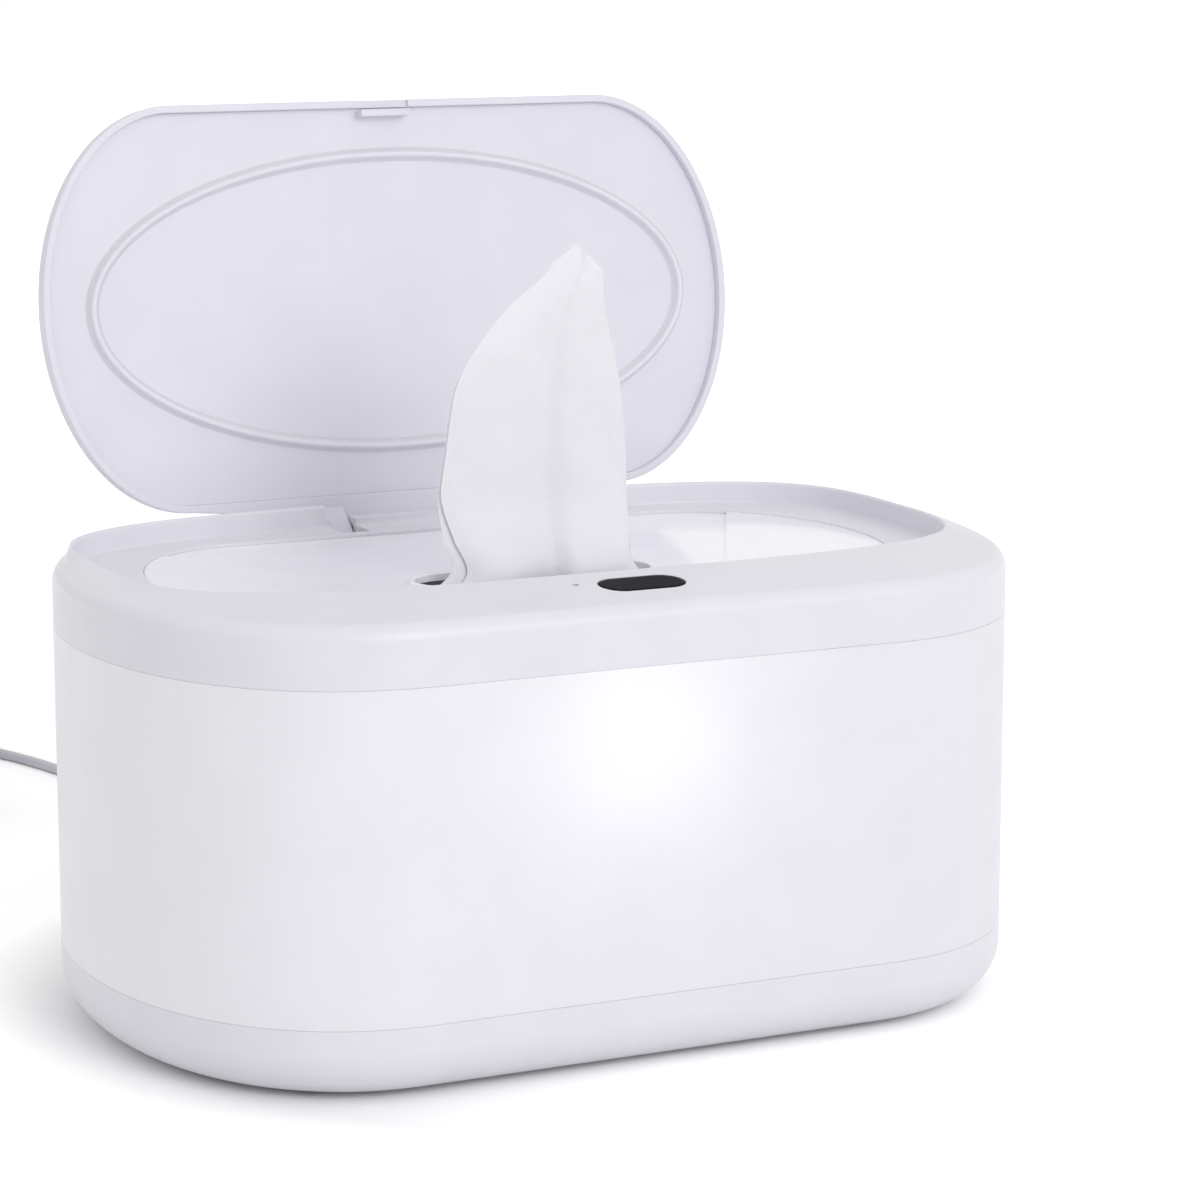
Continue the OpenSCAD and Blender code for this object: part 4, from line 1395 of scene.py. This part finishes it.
def smooth_through(knots: np.ndarray, values: np.ndarray, at: np.ndarray) -> np.ndarray:
    """Run a smooth curve through values given at rising knots.

    Args:
        knots: Rising places of the values.
        values: One value for each knot.
        at: Where the curve is wanted.

    Returns:
        The curve's values there.
    """
    slope = np.gradient(values, knots)
    k = np.clip(np.searchsorted(knots, at, side="right") - 1, 0, len(knots) - 2)
    span = knots[k + 1] - knots[k]
    t = (at - knots[k]) / span
    return ((2 * t ** 3 - 3 * t ** 2 + 1) * values[k] + (t ** 3 - 2 * t ** 2 + t) * span * slope[k]
            + (-2 * t ** 3 + 3 * t ** 2) * values[k + 1] + (t ** 3 - t ** 2) * span * slope[k + 1])


@dataclass
class Lead:
    """The low-voltage lead: plug, free run, neat coil, tie and wall adapter."""

    shop: Workshop
    diameter: float = 3.2
    jack: tuple[float, float] = (-30.0, 10.5)
    plug_y: float = 78.2
    plug_length: float = 18.0
    relief_length: float = 12.0
    coil: tuple[float, float] = (-80.0, 330.0)
    coil_out: float = 22.8
    coil_start: float = 30.0
    layer_turns: float = 2.604
    layers: int = 4
    pitch: float = 3.7
    exit_y: float = 290.0
    adapter_x: float = -103.0
    adapter_y: float = 236.0
    adapter_size: tuple[float, float, float] = (26.0, 44.0, 25.0)
    route: tuple[tuple[float, float, float], ...] = (
        (-30, 112, 11.7), (-30, 119, 11), (-30, 126, 9), (-30, 133, 6.2), (-30, 140, 3.6), (-30, 147, 2),
        (-30, 155, 1.6), (-29.5, 163, 1.6), (-29, 171, 1.6), (-28.5, 179, 1.6), (-28, 187, 1.6),
        (-28, 195, 1.6), (-28, 203, 1.6), (-28, 211, 1.6), (-28.2, 219, 1.6), (-28.5, 227, 1.6),
        (-29, 235, 1.6),
        (-29.7, 243, 1.6), (-30.6, 251, 1.6), (-31.7, 259, 1.6), (-33, 267, 1.6), (-34.5, 275, 1.6),
        (-36.2, 283, 1.6), (-38.2, 291, 1.6), (-40.5, 299, 1.6), (-43.2, 307, 1.6), (-46.4, 315, 1.6),
        (-50, 322.4, 1.6))

    def coil_point(self, s: float) -> tuple[float, float, float]:
        """Return the coil's centre line after a sweep of so many degrees.

        Args:
            s: Degrees walked round the coil.

        Returns:
            x, y and height above the table, in millimetres.
        """
        per_layer = 360 * self.layer_turns
        k, f = divmod(s / per_layer, 1.0)
        wave = f if k % 2 == 0 else 1 - f
        radius = self.coil_out - self.pitch * self.layer_turns * wave
        near = round(s / per_layer)
        step = max(0.0, min(1.0, 0.5 + (s - near * per_layer) / 180))
        climb = 0 if near <= 0 else self.layers - 1 if near >= self.layers else near - 1 + step
        angle = self.coil_start + s
        away = abs(angle % 360 - 270)
        away = min(away, 360 - away)
        a = math.radians(angle)
        height = self.diameter / 2 + self.pitch * climb + 1.1 * math.exp(-(away / 24) ** 2)
        return self.coil[0] + radius * math.cos(a), self.coil[1] + radius * math.sin(a), height

    def points(self) -> np.ndarray:
        """Walk the whole lead, from its relief to the adapter's.

        Returns:
            The centre line's points in metres, in the row frame.
        """
        turn = math.radians(self.coil_start)
        first = self.coil_point(0.0)
        reach = self.diameter * 1.5
        lead_in = (first[0] + reach * math.sin(turn), first[1] - reach * math.cos(turn), first[2])
        start = (self.jack[0], self.plug_y + self.plug_length + self.relief_length, 11.7)
        sweep = 360 * self.layer_turns * self.layers
        wound = [self.coil_point(s) for s in np.append(np.arange(0.0, sweep, 10.0), sweep - 0.001)]
        top = self.diameter / 2 + self.pitch * (self.layers - 1)
        tail = [(self.adapter_x, y, top) for y in (320.0, 310.0, 300.0, 293.2, 290.0)]
        return self.shop.place.table(np.array([start, *self.route, lead_in, *wound, *tail]))

    def cord(self) -> bpy.types.Object:
        """Make the lead as one open curve.

        Returns:
            The curve object.
        """
        points = self.points()
        curve = bpy.data.curves.new("lead_cord", "CURVE")
        curve.dimensions = "3D"
        curve.bevel_depth = self.diameter / 2 * MM
        curve.bevel_resolution = 4
        curve.use_fill_caps = True
        line = curve.splines.new("POLY")
        line.points.add(len(points) - 1)
        for point, place in zip(line.points, points):
            point.co = (*place, 1.0)
        line.use_smooth = True
        obj = bpy.data.objects.new("lead_cord", curve)
        bpy.context.scene.collection.objects.link(obj)
        return obj

    def plug(self) -> bpy.types.Object:
        """Make the round plug with its grip rings and its barrel in the socket.

        Returns:
            The plug.
        """
        profile = [(-9.2, 2.3), (-8.9, 2.75), (-0.2, 2.75), (-0.1, 4.2), (0.25, 4.6)]
        for groove in np.arange(5.0, 14.1, 1.8):
            profile += [(groove + along, radius)
                        for along, radius in ((-0.45, 4.6), (-0.25, 4.3), (0.25, 4.3), (0.45, 4.6))]
        profile += [(17.2, 4.6), (17.7, 4.4), (17.95, 4.0), (18.0, 3.3)]
        start = self.shop.place.case([[self.jack[0], self.plug_y, self.jack[1]]])[0]
        return shade(turned("lead_plug", profile, start), 50.0)

    def boot(self, name: str, start: np.ndarray, length: float, wide: float,
             slim: float) -> bpy.types.Object:
        """Make a tapered strain relief with rings in it.

        Args:
            name: The object's name.
            start: Its wide end in metres.
            length: Its length.
            wide: The radius at the wide end.
            slim: The radius at the slim end.

        Returns:
            The relief.
        """
        profile = [(0.0, wide)]
        for share in np.arange(0.18, 0.85, 0.16):
            radius = wide + (slim - wide) * share
            profile += [(length * (share - 0.05), radius + 0.05), (length * (share - 0.02), radius - 0.35),
                        (length * (share + 0.02), radius - 0.35), (length * (share + 0.05), radius)]
        profile += [(length * 0.97, slim), (length, slim - 0.15)]
        return shade(turned(name, profile, start, 40), 40.0)

    def tie(self) -> bpy.types.Object:
        """Make the flat tie round the coil's turns.

        Returns:
            The tie.
        """
        rings = []
        for size, wall in (((15.6, 18.0), 2.6), ((14.0, 16.4), 1.8)):
            flat = soft_box(size[0], size[1], wall) + np.array([self.coil[1] - 18.0, 9.0])
            for x in ((-83.0, -77.0) if wall > 2 else (-77.0, -83.0)):
                rings.append(np.column_stack([np.full(len(flat), x), flat]))
        profile = Profile()
        for ring in rings:
            profile.add(ring, 0.25)
        tie = loft("lead_tie", [self.shop.place.table(r) for r in profile.rounded(True)], closed=True)
        return shade(tie)

    def adapter(self) -> bpy.types.Object:
        """Make the wall adapter: a soft-cornered block with a fine parting groove.

        Returns:
            The adapter.
        """
        wide, long, tall = self.adapter_size
        middle = np.array([self.adapter_x, self.adapter_y + long / 2])
        profile = Profile()
        for draw, height, radius in ((8.0, 0.0, 0.0), (0.0, 0.0, 1.6), (0.0, tall / 2 - 0.35, 0.1),
                                     (0.35, tall / 2 - 0.2, 0.0), (0.35, tall / 2 + 0.2, 0.0),
                                     (0.0, tall / 2 + 0.35, 0.1), (0.0, tall, 1.6), (8.0, tall, 0.0)):
            flat = soft_box(wide - 2 * draw, long - 2 * draw, max(3.0 - draw, 0.5)) + middle
            profile.add(np.column_stack([flat, np.full(len(flat), height)]), radius)
        return shade(loft("wall_adapter", [self.shop.place.table(r) for r in profile.rounded(False)]))

    def build(self) -> None:
        shop, case = self.shop, Body.CASE
        cord = shop.fit(self.cord(), Palette.LEAD, case, "lead", "cord_run", "cord_coil")
        plug = shop.fit(self.plug(), Palette.LEAD, case, "lead", "dc_plug")
        relief_y = self.plug_y + self.plug_length
        start = shop.place.case([[self.jack[0], relief_y, self.jack[1]]])[0]
        relief = shop.fit(self.boot("lead_relief", start, self.relief_length, 3.4, 2.0), Palette.LEAD,
                          case, "lead", "plug_relief")
        top = self.diameter / 2 + self.pitch * (self.layers - 1)
        root = self.adapter_y + self.adapter_size[1]
        far = shop.place.table([[self.adapter_x, root, top]])[0]
        boot = shop.fit(self.boot("adapter_boot", far, self.exit_y - root, 4.0, 2.2), Palette.LEAD,
                        case, "lead", "adapter_relief")
        tie = shop.fit(self.tie(), Palette.TIE, case, "tie", "cord_tie")
        block = shop.fit(self.adapter(), Palette.ADAPTER, case, "adapter", "adapter_body")
        line = self.points()


@dataclass
class Fittings:
    """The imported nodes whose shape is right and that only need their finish."""

    shop: Workshop
    finishes: dict[str, Finish] = field(default_factory=lambda: {
        "rubber_foot_": Palette.RUBBER, "case_screw_": Palette.STEEL, "board_screw_": Palette.STEEL,
        "display_screw_": Palette.STEEL, "inner_tank": Palette.TANK, "heater_plate": Palette.ALUMINIUM,
        "heater_film": Palette.FILM, "insulation_pad": Palette.FOAM, "thermostat": Palette.STEEL,
        "thermal_fuse": Palette.STEEL, "main_board": Palette.BOARD, "night_light_board": Palette.BOARD,
        "night_light_led": Palette.LED, "display_board": Palette.BOARD, "display_module": Palette.BLACK,
        "indicator_lens": Palette.LENS, "dc_jack": Palette.BLACK, "hinge_rod": Palette.STEEL,
        "adapter_prong_": Palette.NICKEL})

    def build(self) -> None:
        """Give each of these nodes its finish."""
        for name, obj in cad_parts.items():
            for start, finish in self.finishes.items():
                if name == start or (start.endswith("_") and name.startswith(start)):
                    self.shop.palette.paint(obj, finish)
                    LOG.info("%s keeps its packed shape", name)


@dataclass
class Studio:
    """Camera, pale floor and soft light."""

    camera_at: tuple[float, float, float] = (-0.398864, -0.879096, 0.278728)
    look_at: tuple[float, float, float] = (0.018555, -0.010617, 0.09956)
    lens: float = 115.656
    sky: float = 0.76
    lift: tuple[float, float] = (0.0, 0.40)
    reach: tuple[float, float] = (0.5, 1.6)
    # Painted shadow: the floor's seen tone is lowest near the body and on its left side.
    painted_shadow_tones: tuple[float, float] = (1.03, 1.38)
    bounce: float = 0.86
    painted_shadow_left: tuple[float, float] = (-0.10, 0.0)
    painted_shadow_round: tuple[float, float] = (0.118, 0.142)
    floor_half: float = 4.0
    floor_cells: int = 8
    lamp_at: tuple[float, float, float] = (0.3, -1.95, 0.9)
    lamp_aim: tuple[float, float, float] = (0.0, 0.0, 0.08)
    lamp_size: float = 1.0
    lamp_power: float = 11.0

    def camera(self) -> None:
        """Set the photograph's camera."""
        data = bpy.data.cameras.new("photo_camera")
        data.lens = self.lens
        data.sensor_width = 36.0
        data.clip_start = 0.01
        obj = bpy.data.objects.new("photo_camera", data)
        bpy.context.scene.collection.objects.link(obj)
        obj.location = self.camera_at
        way = Vector(self.look_at) - Vector(self.camera_at)
        obj.rotation_euler = way.to_track_quat("-Z", "Y").to_euler()
        bpy.context.scene.camera = obj

    def seen_white(self, graph: Graph) -> bpy.types.NodeSocket:
        """Tell the rays that show a surround from those that light the warmer.

        Args:
            graph: The node tree of the floor or the world.

        Returns:
            1 for rays from the camera, mirrors and glass, and else 0.
        """
        path = graph.add("ShaderNodeLightPath")
        first = graph.maths("MAXIMUM", path.outputs["Is Camera Ray"], path.outputs["Is Glossy Ray"])
        return graph.maths("MAXIMUM", first, path.outputs["Is Transmission Ray"])

    def floor(self) -> None:
        """Lay the pale floor, which shows white and keeps the shadow. Near the body and on its left side the
        floor's seen tone is lowered, a painted shadow that deepens the real one.
        """
        graph = Graph("pale_floor")
        seen = self.seen_white(graph)
        where = graph.object_space()
        away = graph.add("ShaderNodeVectorMath", {0: where}, operation="LENGTH").outputs["Value"]
        along = graph.add("ShaderNodeSeparateXYZ", {0: where}).outputs["X"]
        # Painted shadow: a lower seen tone near the body and on its left side.
        shadow_painted_tone = graph.maths("MAXIMUM", graph.remap(along, self.painted_shadow_left, self.painted_shadow_tones),
                             graph.remap(away, self.painted_shadow_round, self.painted_shadow_tones))
        extra = graph.maths("MULTIPLY", seen, graph.maths("SUBTRACT", shadow_painted_tone, self.bounce))
        tone = graph.maths("ADD", extra, self.bounce)
        colour = graph.add("ShaderNodeCombineColor", {0: tone, 1: tone, 2: tone}).outputs[0]
        paint = graph.add("ShaderNodeBsdfDiffuse", {"Color": colour})
        lift = graph.remap(away, self.reach, self.lift)
        lit = graph.add("ShaderNodeEmission", {
            "Color": WHITE, "Strength": graph.maths("MULTIPLY", seen, lift)})
        both = graph.add("ShaderNodeAddShader", {0: paint.outputs[0], 1: lit.outputs[0]})
        cells, wide = self.floor_cells, self.floor_cells + 1
        steps = np.linspace(-self.floor_half, self.floor_half, wide)
        points = [(x, y, 0.0) for y in steps for x in steps]
        faces = [(r * wide + c, r * wide + c + 1, (r + 1) * wide + c + 1, (r + 1) * wide + c)
                 for r in range(cells) for c in range(cells)]
        floor = new_object("floor", np.array(points), faces)
        floor.data.materials.append(graph.finish(both.outputs[0]))

    def sky_light(self) -> None:
        """Set a plain white surround that shows white and lights at a plain level."""
        world = bpy.data.worlds.new("surround")
        bpy.context.scene.world = world
        world.use_nodes = True
        graph = Graph("surround", world.node_tree)
        strength = graph.remap(self.seen_white(graph), (0.0, 1.0), (self.sky, 1.0))
        back = graph.add("ShaderNodeBackground", {"Color": WHITE, "Strength": strength})
        graph.finish(back.outputs[0])

    def lamp(self) -> None:
        """Hang the one soft square lamp, facing the warmer."""
        data = bpy.data.lights.new("key_lamp", "AREA")
        data.shape = "SQUARE"
        data.size = self.lamp_size
        data.energy = self.lamp_power
        obj = bpy.data.objects.new("key_lamp", data)
        bpy.context.scene.collection.objects.link(obj)
        obj.location = self.lamp_at
        way = Vector(self.lamp_aim) - Vector(self.lamp_at)
        obj.rotation_euler = way.to_track_quat("-Z", "Y").to_euler()

    def build(self) -> None:
        """Lay the floor and set the light."""
        self.floor()
        self.sky_light()
        self.lamp()
        bpy.context.scene.view_settings.view_transform = "Standard"


def main() -> None:
    """Build the studio and every sub-assembly in order."""
    logging.basicConfig(level=logging.INFO, format="%(name)s: %(message)s")
    studio = Studio()
    studio.camera()
    shop = Workshop(read_place())
    Lead(shop).build()
    studio.build()
    Housing(shop).build()
    Display(shop).build()
    Tray(shop).build()
    Lid(shop).build()
    Wipes(shop).build()
    Fittings(shop).build()
    LOG.info("%d pieces built", len(shop.pieces))


if __name__ == "__main__":
    main()
